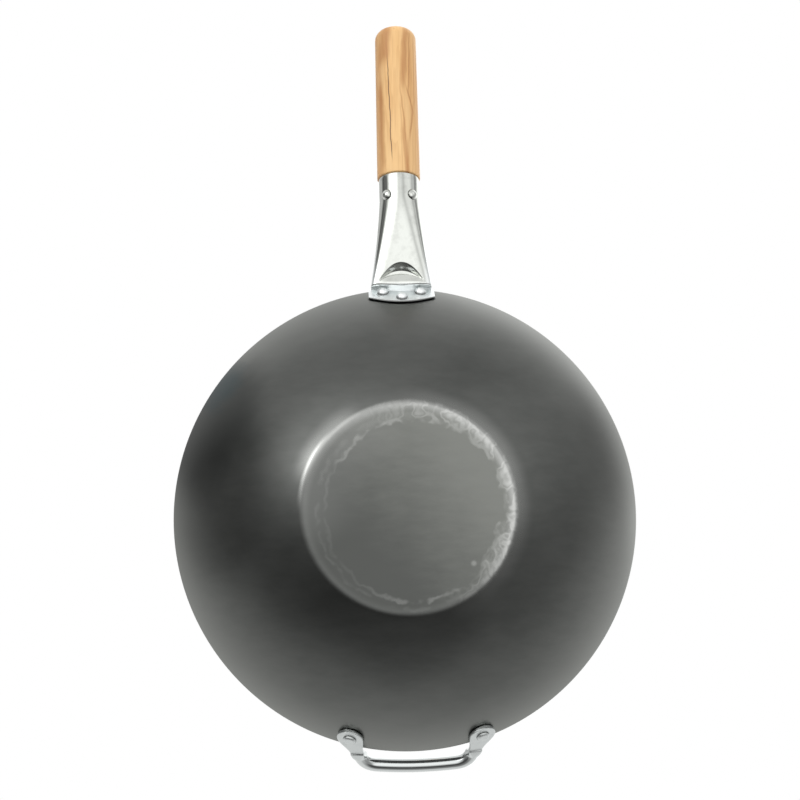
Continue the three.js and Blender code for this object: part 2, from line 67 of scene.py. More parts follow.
LOG = logging.getLogger("wok")
MM = 0.001
FULL_TURN = 2 * math.pi
BODY = "root"
MARK = "mark"
TINY = 1e-6
DOUBLES = 1e-7
EASING = 0.25
SINE_DIGITS = 12
PATH_COLUMNS = (3, 6, 9)
Colour = tuple[float, float, float]
Place = tuple[float, float, float]
Number = np.ndarray | float


class Slot(Enum):
    """Material slots of the record."""

    BOWL = "bowl_steel"
    STEEL = "polished_steel"
    WOOD = "grip_wood"


class Wire:
    """An output socket of a node tree, with arithmetic that adds Math nodes."""

    def __init__(self, graph: "Graph", socket: bpy.types.NodeSocket) -> None:
        """Keeps the graph and the socket."""
        self.graph = graph
        self.socket = socket

    def also(self, name: str) -> "Wire":
        """Another output of the same node."""
        return Wire(self.graph, self.socket.node.outputs[name])

    def math(self, operation: str, *others: "Wire | float") -> "Wire":
        """This value, then the others, through a Math node."""
        values = dict(enumerate((self, *others)))
        return self.graph.add("ShaderNodeMath", {"operation": operation}, values)

    def __add__(self, other: "Wire | float") -> "Wire":
        """The sum."""
        return self.math("ADD", other)

    def __radd__(self, other: float) -> "Wire":
        """The sum, with a number first."""
        return self.math("ADD", other)

    def __sub__(self, other: "Wire | float") -> "Wire":
        """The difference."""
        return self.math("SUBTRACT", other)

    def __rsub__(self, other: float) -> "Wire":
        """The difference, with a number first."""
        return self.graph.add("ShaderNodeMath", {"operation": "SUBTRACT"}, {0: other, 1: self})

    def __mul__(self, other: "Wire | float") -> "Wire":
        """The product."""
        return self.math("MULTIPLY", other)

    def __rmul__(self, other: float) -> "Wire":
        """The product, with a number first."""
        return self.math("MULTIPLY", other)

    def __truediv__(self, other: "Wire | float") -> "Wire":
        """The quotient."""
        return self.math("DIVIDE", other)

    def __rtruediv__(self, other: float) -> "Wire":
        """The quotient, with a number first."""
        return self.graph.add("ShaderNodeMath", {"operation": "DIVIDE"}, {0: other, 1: self})

    def __pow__(self, other: "Wire | float") -> "Wire":
        """The power."""
        return self.math("POWER", other)

    def __abs__(self) -> "Wire":
        """The absolute value."""
        return self.math("ABSOLUTE")

    def ramp(self, low: "Wire | float", high: "Wire | float", start: float = 0, end: float = 1) -> "Wire":
        """A smooth step of this value.

        Args:
            low: Value at which the step begins.
            high: Value at which it ends.
            start: Result below low.
            end: Result above high.

        Returns:
            The stepped value.
        """
        settings = {"interpolation_type": "SMOOTHSTEP"}
        values = {"Value": self, "From Min": low, "From Max": high, "To Min": start, "To Max": end}
        return self.graph.add("ShaderNodeMapRange", settings, values)

    def fade(self, low: "Wire | float", high: "Wire | float", start: float = 1) -> "Wire":
        """A smooth step down to 0."""
        return self.ramp(low, high, start, 0)

    def near(self, core: float, edge: float, strength: float = 1) -> "Wire":
        """The strength where this value is within core of zero, down to 0 at edge."""
        return abs(self).fade(core, edge, strength)

    def band(self, start: "Wire | float", full: "Wire | float", last: float, end: float) -> "Wire":
        """1 from full to last, down to 0 at start and at end."""
        return self.ramp(start, full) * self.fade(last, end)


class Graph:
    """A node tree under construction."""

    def __init__(self, tree: bpy.types.NodeTree) -> None:
        """Keeps the tree."""
        self.tree = tree

    @staticmethod
    def _find(sockets: bpy.types.bpy_prop_collection, key: int | str) -> bpy.types.NodeSocket:
        """Finds a socket by its number, or the first whose identifier or name is the key.

        Args:
            sockets: Sockets of one node.
            key: Number, identifier or name.

        Returns:
            The socket.
        """
        if isinstance(key, int):
            return sockets[key]
        return next((s for s in sockets if s.identifier == key), None) or sockets[key]

    def add(
        self,
        kind: str,
        settings: dict[str, object] | None = None,
        inputs: dict[int | str, object] | None = None,
        output: int | str = 0,
    ) -> Wire | None:
        """Adds a node.

        Args:
            kind: The node's type.
            settings: Its properties, set first.
            inputs: Values or wires for its sockets.
            output: The output to return.

        Returns:
            The wire of that output, or None for a node without outputs.
        """
        node = self.tree.nodes.new(kind)
        for name, value in (settings or {}).items():
            setattr(node, name, value)
        for key, value in (inputs or {}).items():
            socket = self._find(node.inputs, key)
            if isinstance(value, Wire):
                self.tree.links.new(value.socket, socket)
            else:
                socket.default_value = value
        return Wire(self, self._find(node.outputs, output)) if node.outputs else None

    def vector(self, operation: str, *values: Wire | Sequence[float], output: str = "Vector") -> Wire:
        """Vectors through a Vector Math node."""
        return self.add("ShaderNodeVectorMath", {"operation": operation}, dict(enumerate(values)), output)

    def scaled(self, vector: Wire, factor: Wire | float) -> Wire:
        """A vector times a number."""
        values = {"Vector": vector, "Scale": factor}
        return self.add("ShaderNodeVectorMath", {"operation": "SCALE"}, values)

    def dot(self, first: Wire, second: Sequence[float]) -> Wire:
        """The dot product of two vectors."""
        return self.vector("DOT_PRODUCT", first, second, output="Value")

    def distance(self, first: Wire, second: Sequence[float]) -> Wire:
        """The distance between two places."""
        return self.vector("DISTANCE", first, second, output="Value")

    def length(self, vector: Wire) -> Wire:
        """The length of a vector."""
        return self.vector("LENGTH", vector, output="Value")

    def split(self, vector: Wire) -> tuple[Wire, Wire, Wire]:
        """The three parts of a vector."""
        first = self.add("ShaderNodeSeparateXYZ", inputs={0: vector})
        return first, first.also("Y"), first.also("Z")

    def joined(self, x: Wire | float, y: Wire | float, z: Wire | float) -> Wire:
        """A vector of three parts."""
        return self.add("ShaderNodeCombineXYZ", inputs={0: x, 1: y, 2: z})

    def place(self) -> Wire:
        """The place on the piece that is painted."""
        return self.add("ShaderNodeTexCoord", output="Object")

    def mark(self) -> Wire:
        """The share of the second colour that the piece's mesh carries: the coating inside the bowl, the
        painted shade on the steel.
        """
        return self.add("ShaderNodeAttribute", {"attribute_name": MARK}, output="Fac")

    def bump(self, strength: float, distance: float, height: Wire) -> Wire:
        """A normal that follows a height."""
        values = {"Strength": strength, "Distance": distance, "Height": height}
        return self.add("ShaderNodeBump", inputs=values)

    def tinted(self, share: Wire, low: Wire | Colour, high: Wire | Colour) -> Wire:
        """Mixes two colours.

        Args:
            share: Share of the second colour.
            low: First colour.
            high: Second colour.

        Returns:
            The mixed colour.
        """
        low, high = (c if isinstance(c, Wire) else (*c, 1) for c in (low, high))
        values = {"Factor_Float": share, "A_Color": low, "B_Color": high}
        return self.add("ShaderNodeMix", {"data_type": "RGBA"}, values, "Result_Color")


@dataclass(frozen=True)
class Noise:
    """A pattern of soft noise: its scale, detail and roughness, and its place's stretch and shift."""

    scale: float
    detail: float = 2
    roughness: float = 0.5
    stretch: Place = (1, 1, 1)
    shift: Place = (0, 0, 0)

    def at(self, graph: Graph, place: Wire) -> Wire:
        """The noise at a place, from 0 to 1.

        Args:
            graph: The material's graph.
            place: The place.

        Returns:
            The noise.
        """
        return graph.add("ShaderNodeTexNoise", {"noise_dimensions": "3D"}, {
            "Vector": graph.vector("MULTIPLY_ADD", place, self.stretch, self.shift),
            "Scale": self.scale,
            "Detail": self.detail,
            "Roughness": self.roughness,
        })


@dataclass(frozen=True)
class Finish:
    """A surface finish that paints one material."""

    name: str = "finish"

    def material(self) -> bpy.types.Material:
        """Makes the finish's material.

        Returns:
            The new material.
        """
        material = bpy.data.materials.new(self.name)
        material.use_nodes = True
        material.node_tree.nodes.clear()
        graph = Graph(material.node_tree)
        graph.add("ShaderNodeOutputMaterial", inputs={"Surface": self.paint(graph)})
        return material

    def paint(self, graph: Graph) -> Wire:
        """Adds the finish's nodes and returns its shader."""
        raise NotImplementedError


@dataclass(frozen=True)
class Lobe:
    """A soft range of directions round the bowl's axis, about a middle direction."""

    x: float
    y: float
    low: float
    high: float

    def share(self, graph: Graph, turn: Wire) -> Wire:
        """Share in a direction: 0 where its dot product with the middle is low, 1 where it is high."""
        return graph.dot(turn, (self.x, self.y, 0)).ramp(self.low, self.high)


@dataclass(frozen=True)
class Spot:
    """A soft round spot: its middle, the radii of its core and edge, its strength and its raggedness."""

    middle: Place
    core: float
    edge: float
    strength: float
    ragged: float = 0.0

    def share(self, graph: Graph, place: Wire, noise: Wire) -> Wire:
        """Strength of the spot at a place, with its outline shifted by a noise."""
        away = graph.distance(place, self.middle) + (noise - 0.5) * self.ragged
        return away.fade(self.core, self.edge, self.strength)


@dataclass(frozen=True)
class BowlSteel(Finish):
    """Dark satin steel, worn bright and painted with highlights round the base, with painted light and
    shade on the side and a coating inside.

    The mesh's mark is 1 inside. Upper, left and so on are meant as seen from below with the long handle up.
    """

    name: str = "bowl_steel"
    steel: Colour = (0.091, 0.0945, 0.09)
    pale: Colour = (0.117, 0.1205, 0.115)
    base: Colour = (0.08, 0.083, 0.0785)
    # painted light: colour of the base's lighter upper right
    base_lit: Colour = (0.176, 0.181, 0.168)
    # painted reflection: the side is painted lighter towards the rim, where it shows the bright
    # surroundings
    rim: Colour = (0.199, 0.205, 0.192)
    # bright worn steel, also the colour of the painted highlights round the base
    worn: Colour = (0.42, 0.425, 0.412)
    shade: Colour = (0.044, 0.0465, 0.0445)
    tint: Colour = (0.034, 0.056, 0.062)
    # colour of the painted shadow under the flange's lower edge
    dark_line: Colour = (0.012, 0.012, 0.012)
    coating: Colour = (0.021, 0.0215, 0.022)
    fleck: Colour = (0.07, 0.07, 0.071)
    roughness: float = 0.32
    bump_strength: float = 0.35
    bump_height: float = 0.06 * MM
    rim_height: float = 95 * MM
    wear_radius: float = 66 * MM
    wear_edge: float = 76.5 * MM
    wear_drift: Place = (-1.5 * MM, 4.5 * MM, 0)
    wear_reach: float = 5 * MM
    wear_wobble: float = 8 * MM
    wear_ripple: float = 9 * MM
    line_core: float = 0.2 * MM
    line_edge: float = 2.2 * MM
    inner_line: float = 5 * MM
    inner_edge: float = 2.4 * MM
    border_fade: float = 2.5 * MM
    flakes_last: float = 1 * MM
    flakes_end: float = 5 * MM
    # sizes of the bend's ring, partly wear and partly painted highlight, of the painted lighter band, of
    # the painted halo and of the painted glint
    bend_rise: float = 6 * MM
    bend_fall: float = 4 * MM
    lit_band_start: float = 22.95 * MM
    glow_rise: float = 2 * MM
    glow_fall: float = 16 * MM
    shine_line: float = 3 * MM
    shine_core: float = 0.3 * MM
    shine_edge: float = 2.4 * MM
    base_fade: float = 2 * MM
    base_light_slant: Place = (8.3, 10.4, 0)
    cloud: Noise = Noise(14, 3, 0.55)
    grain: Noise = Noise(900)
    spun: Noise = Noise(20, 3, stretch=(40, 40, 1))
    wobble: Noise = Noise(2.6)
    ripple: Noise = Noise(100)
    patches: Noise = Noise(62, 2, 0.6, shift=(0.3, 0.1, 0))
    speckle: Noise = Noise(260, 3, 0.6, shift=(0.1, 0.4, 0))
    smear: Noise = Noise(45, 4, 0.6)
    smear_turn: float = math.radians(25)
    smear_stretch: Place = (3, 1, 1)
    flecks: Noise = Noise(1500, 1)
    # place and size of the painted shadow under the flange
    gap_shadow_height: float = 72 * MM
    gap_shadow_rise: float = 9.4 * MM
    gap_shadow_half: float = 25.5 * MM
    gap_shadow_lift: tuple[float, float, float, float] = (-2 * MM, -0.9 * MM, 1 * MM, 2 * MM)
    gap_shadow_fade: float = 1.2 * MM
    gap_shadow_share: float = 0.8
    front_start: float = 10 * MM
    right: Lobe = Lobe(0.42, 0.91, -0.2, 0.95)
    upper: Lobe = Lobe(0.9, 0.44, -0.5, 0.8)
    left: Lobe = Lobe(0.53, -0.848, 0.5, 0.95)
    upper_left: Lobe = Lobe(0.64, -0.77, 0.88, 0.995)
    bright_side: Lobe = Lobe(0.4, -0.917, 0.91, 0.995)
    lower: Lobe = Lobe(-0.82, 0.57, 0.3, 0.9)
    worn_side: Lobe = Lobe(-0.407, 0.914, 0.94, 0.99)
    dot: Spot = Spot((-40.7 * MM, 46.5 * MM, 0), 0.5 * MM, 3 * MM, 0.28)
    shadow: Spot = Spot((73 * MM, -149 * MM, 77 * MM), 34 * MM, 78 * MM, 0.8, 40 * MM)
    # a darker bluish patch near the rim on the left, within the painted dark patch
    bluish_patch: Spot = Spot((101 * MM, -138 * MM, 86 * MM), 8 * MM, 30 * MM, 0.62, 20 * MM)

    def wear_and_highlights(self, graph: Graph, place: Wire, radius: Wire, turn: Wire) -> Wire:
        """Share of bright wear and painted highlights: a broken wavy line and flakes on the base as wear,
        the ring of the bend, partly wear and partly painted highlight, and painted highlights round the
        bend.

        Args:
            graph: The material's graph.
            place: Place on the bowl.
            radius: Distance from its axis.
            turn: Direction from its axis.

        Returns:
            The share, from 0 to 1.
        """
        right, upper, left, lower = (
            lobe.share(graph, turn) for lobe in (self.right, self.upper, self.left, self.lower)
        )
        upper_left, bright, worn = (
            lobe.share(graph, turn) for lobe in (self.upper_left, self.bright_side, self.worn_side)
        )
        wobble = (self.wobble.at(graph, turn) - 0.5) * self.wear_wobble
        ripple = (self.ripple.at(graph, place) - 0.5) * self.wear_ripple
        patches = self.patches.at(graph, place)
        speckle = self.speckle.at(graph, place)
        drift = graph.dot(turn, self.wear_drift) - worn * self.wear_reach
        border = self.wear_radius + drift + wobble + ripple
        edge = self.wear_edge

        line = (radius - border).near(self.line_core, self.line_edge) * patches.ramp(0.36, 0.56)
        inner = (radius - border - self.inner_line).near(self.line_core, self.inner_edge)
        inner = inner * patches.ramp(0.58, 0.42)
        inside = border + self.border_fade
        zone = radius.band(border, inside, edge + self.flakes_last, edge + self.flakes_end)
        flakes = (patches - 0.5).near(0, 0.06, 0.45) + patches.ramp(0.5, 0.68, 0, 0.6)
        # the bend's ring: partly wear, partly painted highlight, stronger on the upper and right sides
        bend = radius.band(edge - self.bend_rise, edge, edge, edge + self.bend_fall)
        bend = bend * (0.75 + 0.5 * speckle)
        # painted highlight: lighter towards the bend on the left
        lit_band = radius.band(self.lit_band_start, edge, edge, edge + self.bend_fall)
        # painted highlight: a soft halo round the bend on the right and upper left
        crest = edge + self.glow_rise
        glow = radius.band(edge - self.glow_rise, crest, crest, edge + self.glow_fall)
        # painted highlight: a thin glint just outside the bend on the upper left
        shine = (radius - edge - self.shine_line).near(self.shine_core, self.shine_edge) * bright
        layers = (
            line * (0.04 + 0.26 * upper + 0.14 * lower),
            inner * 0.05,
            zone * (0.8 * flakes * right + 0.05 * upper + 0.1 * worn * speckle.ramp(0.35, 0.6)),
            bend * (0.02 + 0.34 * upper + 0.2 * right),
            lit_band * 0.13 * left,
            glow * (0.27 * right + 0.32 * upper_left),
            shine * 0.33,
            self.dot.share(graph, place, speckle),
        )
        return sum(layers).math("MINIMUM", 1.0)

    def flange_gap_shadow(self, x: Wire, y: Wire, z: Wire) -> Wire:
        """Painted shadow: a dark line on the side along the lower edge of the long handle's flange.

        Args:
            x: Place along the handle.
            y: Place across it.
            z: Height.

        Returns:
            The share of the dark colour.
        """
        lift = z - self.gap_shadow_height - (y / self.gap_shadow_half) ** 2 * self.gap_shadow_rise
        line = lift.band(*self.gap_shadow_lift) * y.near(self.gap_shadow_half, self.gap_shadow_half + self.gap_shadow_fade)
        return line * x.ramp(0, self.front_start) * self.gap_shadow_share

    def outside(self, graph: Graph, cloud: Wire, wear_and_highlights: Wire) -> Wire:
        """Colour of the steel outside: the sheet with its stains and its painted light and shade, then the
        base, painted lighter on one side, with its wear and painted highlights.

        Args:
            graph: The material's graph.
            cloud: Slow noise over the bowl.
            wear_and_highlights: Share of bright wear and painted highlights.

        Returns:
            The colour.
        """
        place = graph.place()
        x, y, z = graph.split(place)
        radius = graph.length(graph.joined(x, y, 0))
        smear = self.smear.at(graph, graph.add("ShaderNodeMapping", inputs={
            "Vector": place, "Rotation": (0, 0, self.smear_turn), "Scale": self.smear_stretch,
        }))
        # painted light: the base lighter towards its upper right, mottled by noise
        light_slant = graph.dot(place, self.base_light_slant) + (cloud - 0.5) * 0.5 + (smear - 0.5) * 0.45
        base = graph.tinted(light_slant.ramp(-0.6, 0.9), self.base, self.base_lit)
        on_base = radius.fade(self.wear_edge - self.bend_rise, self.wear_edge + self.base_fade)

        streaks = cloud.ramp(0.3, 0.75) * 0.6 + smear.ramp(0.3, 0.7) * 0.4
        colour = graph.tinted(streaks, self.steel, self.pale)
        # painted reflection: the side lighter towards the rim
        colour = graph.tinted((z / self.rim_height) ** 3, colour, self.rim)
        colour = graph.tinted(self.shadow.share(graph, place, cloud), colour, self.shade)
        # a darker bluish patch near the rim on the left, within the painted dark patch
        colour = graph.tinted(self.bluish_patch.share(graph, place, smear), colour, self.tint)
        colour = graph.tinted(on_base, colour, base)
        colour = graph.tinted(wear_and_highlights, colour, self.worn)
        # painted shadow under the flange's lower edge
        return graph.tinted(self.flange_gap_shadow(x, y, z), colour, self.dark_line)

    def paint(self, graph: Graph) -> Wire:
        """Adds the steel, its wear, its painted light and shade, and the coating.

        Args:
            graph: The material's graph.

        Returns:
            The shader.
        """
        place, inside = graph.place(), graph.mark()
        x, y, z = graph.split(place)
        flat = graph.joined(x, y, 0)
        radius = graph.length(flat)
        cloud = self.cloud.at(graph, place)
        grain = self.grain.at(graph, place)
        spun = self.spun.at(graph, graph.joined(radius, z, 0))
        wear_and_highlights = self.wear_and_highlights(graph, place, radius, graph.vector("NORMALIZE", flat))
        flecks = self.flecks.at(graph, place).ramp(0.66, 0.72)
        coating = graph.tinted(flecks, self.coating, self.fleck)
        height = grain * 0.5 + spun * 0.25 + cloud * 0.6 + wear_and_highlights * 0.8
        return graph.add("ShaderNodeBsdfPrincipled", inputs={
            "Base Color": graph.tinted(inside, self.outside(graph, cloud, wear_and_highlights), coating),
            "Metallic": 1 - inside,
            "Roughness": self.roughness + (cloud - 0.5) * 0.1 + (grain - 0.5) * 0.08 - wear_and_highlights * 0.2,
            "Normal": graph.bump(self.bump_strength, self.bump_height, height),
        })


@dataclass(frozen=True)
class PolishedSteel(Finish):
    """Polished steel with faint waves and fine scratches, satin on the plates and the socket's flanks, and
    painted a little darker on the loop as painted shade.

    The mesh's mark is the share of painted shade, at the feet of rivets and the edge of the flange.
    """

    name: str = "polished_steel"
    steel: Colour = (0.613, 0.63, 0.596)
    dull: Colour = (0.546, 0.56, 0.53)
    # painted shade: the loop's steel, a slightly darker copy of the steel
    loop: Colour = (0.566, 0.59, 0.583)
    pale: Colour = (0.875, 0.905, 0.905)
    # colour of the painted shade at the feet of rivets and the flange's edge
    painted_shade: Colour = (0.06, 0.06, 0.055)
    painted_shade_share: float = 0.85
    roughness: float = 0.07
    bump_strength: float = 0.25
    bump_height: float = 0.08 * MM
    satin: float = 0.3
    flank_share: float = 0.8
    plate_reach: float = 178 * MM
    plate_fade: float = 4 * MM
    flank_start: float = 16.5 * MM
    flank_fade: float = 5 * MM
    waves: Noise = Noise(60)
    dulling: Noise = Noise(140, 4, 0.6)
    scratches: Noise = Noise(130, 3, 0.7, stretch=(1, 12, 12))

    def paint(self, graph: Graph) -> Wire:
        """Adds the polish, its dull patches and its scratches.

        Args:
            graph: The material's graph.

        Returns:
            The shader.
        """
        place = graph.place()
        x, y, _ = graph.split(place)
        front = x.ramp(0, self.plate_reach)
        flank = abs(y).ramp(self.flank_start, self.flank_start + self.flank_fade) * front * self.flank_share
        plate = x.near(self.plate_reach, self.plate_reach + self.plate_fade).math("MAXIMUM", flank)
        waves = self.waves.at(graph, place)
        dull = self.dulling.at(graph, place).ramp(0.45, 0.7)
        fine = self.scratches.at(graph, place)
        # painted shade: the loop side of the steel a little darker
        colour = graph.tinted(front, self.loop, graph.tinted(dull, self.steel, self.dull))
        colour = graph.tinted(plate * front, colour, self.pale)
        return graph.add("ShaderNodeBsdfPrincipled", inputs={
            # painted shade at the feet of rivets and along the flange's edge
            "Base Color": graph.tinted(graph.mark() * self.painted_shade_share, colour, self.painted_shade),
            "Metallic": 1.0,
            "Roughness": self.roughness + plate * self.satin + dull * 0.07 + fine.ramp(0.5, 0.8) * 0.06,
            "Normal": graph.bump(self.bump_strength, self.bump_height, waves + fine * 0.06),
        })


@dataclass(frozen=True)
class Vein:
    """A streak along the grip, in millimetres.

    It has a sideways place at the mouth, a lean, a half width, a start, an end and a strength. Its core is
    a share of its width, and it starts and ends softly.
    """

    place: float
    lean: float
    width: float
    start: float
    end: float
    depth: float
    core: float = 0.25
    soft: float = 8

    def share(self, along: Wire, sideways: Wire) -> Wire:
        """Strength of the streak at a place on the grip.

        Args:
            along: Distance from the mouth along the grip.
            sideways: Distance across the grip.

        Returns:
            The strength.
        """
        off = sideways - self.place - along * self.lean
        across = off.near(self.width * self.core, self.width, self.depth)
        soft = self.soft
        return across * along.band(self.start - soft, self.start + soft, self.end - soft, self.end + soft)


@dataclass(frozen=True)
class GripWood(Finish):
    """Oiled wood with long brown streaks along the grip, which starts at the origin. One broad band is
    painted shade along the grip's edge at -Y.

    The sizes of rings, pith, veins and noises are in millimetres.
    """

    name: str = "grip_wood"
    origin: Place = (0, 0, 0)
    elevation: float = 0.0
    light: Colour = (0.97, 0.635, 0.295)
    warm: Colour = (0.88, 0.52, 0.205)
    brown: Colour = (0.52, 0.225, 0.072)
    dark: Colour = (0.13, 0.052, 0.017)
    ring_width: float = 3.1
    ring_lean: float = 0.05
    ring_warp: float = 9
    pith_side: float = 5
    pith_depth: float = 29
    pith_drift: float = 20
    vein_wander: float = 2.6
    vein_slant: float = 0.08
    roughness: float = 0.44
    bump_strength: float = 0.3
    bump_height: float = 0.1 * MM
    warp: Noise = Noise(0.075, 3, 0.55, (0.16, 1, 1))
    drift: Noise = Noise(0.05, stretch=(0.16, 1, 1), shift=(70, 20, 40))
    warmth: Noise = Noise(0.05, stretch=(0.16, 1, 1), shift=(10, 90, 0))
    figure: Noise = Noise(0.2, 3, 0.6, (0.07, 1, 1))
    fibre: Noise = Noise(1.3, stretch=(0.03, 1, 1))
    wander: Noise = Noise(0.05, 3, stretch=(1, 0, 0))
    dark_line: Vein = Vein(-6.2, -0.022, 0.55, 14, 98, 0.92)
    streaks: tuple[Vein, ...] = (
        Vein(-18.4, 0.074, 5.5, 98, 145, 0.7),
        Vein(-2.7, 0.074, 3.6, 74, 130, 0.5),
        Vein(5.6, 0.034, 1.0, 68, 126, 0.5),
        Vein(7.3, -0.084, 0.9, 30, 70, 0.6),
        Vein(24.9, -0.25, 1.0, 56, 74, 0.55),
        Vein(5.6, 0.095, 1.1, 32, 58, 0.55),
        Vein(5.2, -0.05, 2.6, -10, 42, 0.5),
        Vein(-12.6, -0.012, 2.6, 8, 78, 0.42),
        Vein(-6.4, -0.022, 0.8, 100, 128, 0.5),
        # painted shade: a broad brown band along the grip's edge at -Y, the left as seen from below, over
        # its whole length
        Vein(-16.8, 0, 6.5, -40, 170, 0.5),
        Vein(9.5, 0, 11, -40, 170, 0.2),
        Vein(6.4, 0, 0.7, 84, 118, 0.35),
        Vein(12, 0.01, 0.7, 60, 120, 0.35),
        Vein(15.2, 0, 0.7, 4, 112, 0.4),
        Vein(1.6, -0.01, 0.6, 0, 60, 0.3),
    )

    def paint(self, graph: Graph) -> Wire:
        """Adds the growth rings, the streaks, the painted shade along the edge at -Y, the dark line and the
        fibres.

        Args:
            graph: The material's graph.

        Returns:
            The shader.
        """
        along = graph.add("ShaderNodeMapping", {"vector_type": "TEXTURE"}, {
            "Vector": graph.place(),
            "Location": self.origin,
            "Rotation": (0, -self.elevation, 0),
            "Scale": (MM, MM, MM),
        })
        a, b, c = graph.split(along)
        warp = (self.warp.at(graph, along) - 0.5) * self.ring_warp
        drift = (self.drift.at(graph, along) - 0.5) * self.pith_drift
        wander = (self.wander.at(graph, along) - 0.5) * self.vein_wander
        warmth = self.warmth.at(graph, along).ramp(0.4, 0.64)
        streak = self.figure.at(graph, along)
        fibre = self.fibre.at(graph, along)

        pith = graph.joined(0, b - self.pith_side + drift, c - self.pith_depth)
        rings = graph.length(pith) + a * self.ring_lean + warp
        late = (rings / self.ring_width).math("FRACT").band(0.3, 0.92, 0.94, 1.0)

        sideways = b + wander + c * self.vein_slant
        # the streaks, with the painted shade along the edge at -Y
        veins_and_side_shade = sum(vein.share(a, sideways) for vein in self.streaks)
        veins_and_side_shade = veins_and_side_shade.math("MINIMUM", 0.8) * (0.55 + 0.9 * streak)
        dark_line = self.dark_line.share(a, sideways) * (0.5 + 0.5 * streak.ramp(0.35, 0.5))

        colour = graph.tinted(warmth * 0.7, self.light, self.warm)
        colour = graph.tinted(late * (0.03 + 0.28 * streak), colour, self.brown)
        colour = graph.tinted(streak.ramp(0.54, 0.76) * 0.45, colour, self.brown)
        colour = graph.tinted(veins_and_side_shade, colour, self.brown)
        colour = graph.tinted(fibre.ramp(0.45, 0.75) * 0.2, colour, self.brown)
        colour = graph.tinted(dark_line, colour, self.dark)
        height = fibre * 0.6 - dark_line - late * 0.2
        return graph.add("ShaderNodeBsdfPrincipled", inputs={
            "Base Color": colour,
            "Roughness": self.roughness + late * 0.08 + fibre * 0.06,
            "Normal": graph.bump(self.bump_strength, self.bump_height, height),
        })


@dataclass(frozen=True)
class FloorPaint(Finish):
    """Plain pale floor that is seen from above only and lets all other light through."""

    name: str = "floor_paint"
    pale: Colour = (0.83, 0.83, 0.825)
    paler: Colour = (0.9, 0.9, 0.9)
    roughness: float = 0.7
    clouds: Noise = Noise(3, 3)

    def paint(self, graph: Graph) -> Wire:
        """Adds the paint and the clear underside.

        Args:
            graph: The material's graph.

        Returns:
            The shader.
        """
        seen = graph.add("ShaderNodeLightPath", output="Is Camera Ray")
        back = graph.add("ShaderNodeNewGeometry", output="Backfacing")
        faint = self.clouds.at(graph, graph.place()) * 0.1
        paint = graph.add("ShaderNodeBsdfPrincipled", inputs={
            "Base Color": graph.tinted(faint, self.pale, self.paler), "Roughness": self.roughness,
        })
        clear = graph.add("ShaderNodeBsdfTransparent")
        return graph.add("ShaderNodeMixShader", inputs={0: seen * (1 - back), 1: clear, 2: paint})


class NodeTool:
    """A Geometry Nodes tree with named inputs that is run once on a mesh."""

    def __init__(self, name: str, sizes: dict[str, str]) -> None:
        """Makes the tree.

        Args:
            name: Name of the tree.
            sizes: Its inputs after the geometry, each with its socket type.
        """
        self.tree = bpy.data.node_groups.new(name, "GeometryNodeTree")
        sockets = {"Geometry": "NodeSocketGeometry", **sizes, "Material": "NodeSocketMaterial"}
        face = self.tree.interface
        self.identifiers = {
            label: face.new_socket(label, in_out="INPUT", socket_type=kind).identifier
            for label, kind in sockets.items()
        }
        face.new_socket("Geometry", in_out="OUTPUT", socket_type="NodeSocketGeometry")
        self.graph = Graph(self.tree)
        self.given = self.graph.add("NodeGroupInput")
        shape = self.graph.add("GeometryNodeSetShadeSmooth", inputs={0: self.plan()})
        real = self.graph.add("GeometryNodeRealizeInstances", inputs={0: shape})
        dressing = {0: real, "Material": self.given.also("Material")}
        dressed = self.graph.add("GeometryNodeSetMaterial", inputs=dressing)
        self.graph.add("NodeGroupOutput", inputs={0: dressed})

    def plan(self) -> Wire:
        """Adds the tool's own nodes and returns its geometry."""
        raise NotImplementedError

    def sampled(self, value: Wire, index: Wire, kind: str) -> Wire:
        """Reads a value of the given geometry's points.

        Args:
            value: The value.
            index: Number of the point.
            kind: Data type of the value.

        Returns:
            The value at that point.
        """
        settings = {"data_type": kind, "domain": "POINT"}
        return self.graph.add("GeometryNodeSampleIndex", settings, {
            "Geometry": self.given, "Value": value, "Index": index,
        })

    def named(self, name: str, kind: str) -> Wire:
        """A named attribute of the geometry."""
        return self.graph.add("GeometryNodeInputNamedAttribute", {"data_type": kind}, {"Name": name})

    def rows(self) -> tuple[Wire, Wire]:
        """The number of points of the given geometry and the index of a point."""
        count = self.graph.add("GeometryNodeAttributeDomainSize", {"component": "MESH"}, {0: self.given})
        return count, self.graph.add("GeometryNodeInputIndex")

    def grid(self, columns: Wire, rows: Wire) -> Wire:
        """A flat grid, whose points are numbered column by column."""
        return self.graph.add("GeometryNodeMeshGrid", inputs={"Vertices X": columns, "Vertices Y": rows})

    def welded(self, geometry: Wire) -> Wire:
        """The geometry with its seam and poles closed."""
        values = {"Geometry": geometry, "Distance": TINY}
        return self.graph.add("GeometryNodeMergeByDistance", inputs=values)

    def run(self, mesh: bpy.types.Mesh, material: bpy.types.Material, **values: object) -> bpy.types.Mesh:
        """Runs the tree.

        Args:
            mesh: Points that the tree is given.
            material: Finish of the result.
            values: The tree's inputs by name.

        Returns:
            The result as a plain mesh.
        """
        carrier = bpy.data.objects.new(mesh.name, mesh)
        bpy.context.scene.collection.objects.link(carrier)
        modifier = carrier.modifiers.new(self.tree.name, "NODES")
        modifier.node_group = self.tree
        for name, value in {**values, "Material": material}.items():
            modifier[self.identifiers[name]] = value
        graph = bpy.context.evaluated_depsgraph_get()
        made = bpy.data.meshes.new_from_object(carrier.evaluated_get(graph))
        carrier.modifiers.remove(modifier)
        bpy.data.objects.remove(carrier)
        bpy.data.meshes.remove(mesh)
        return made


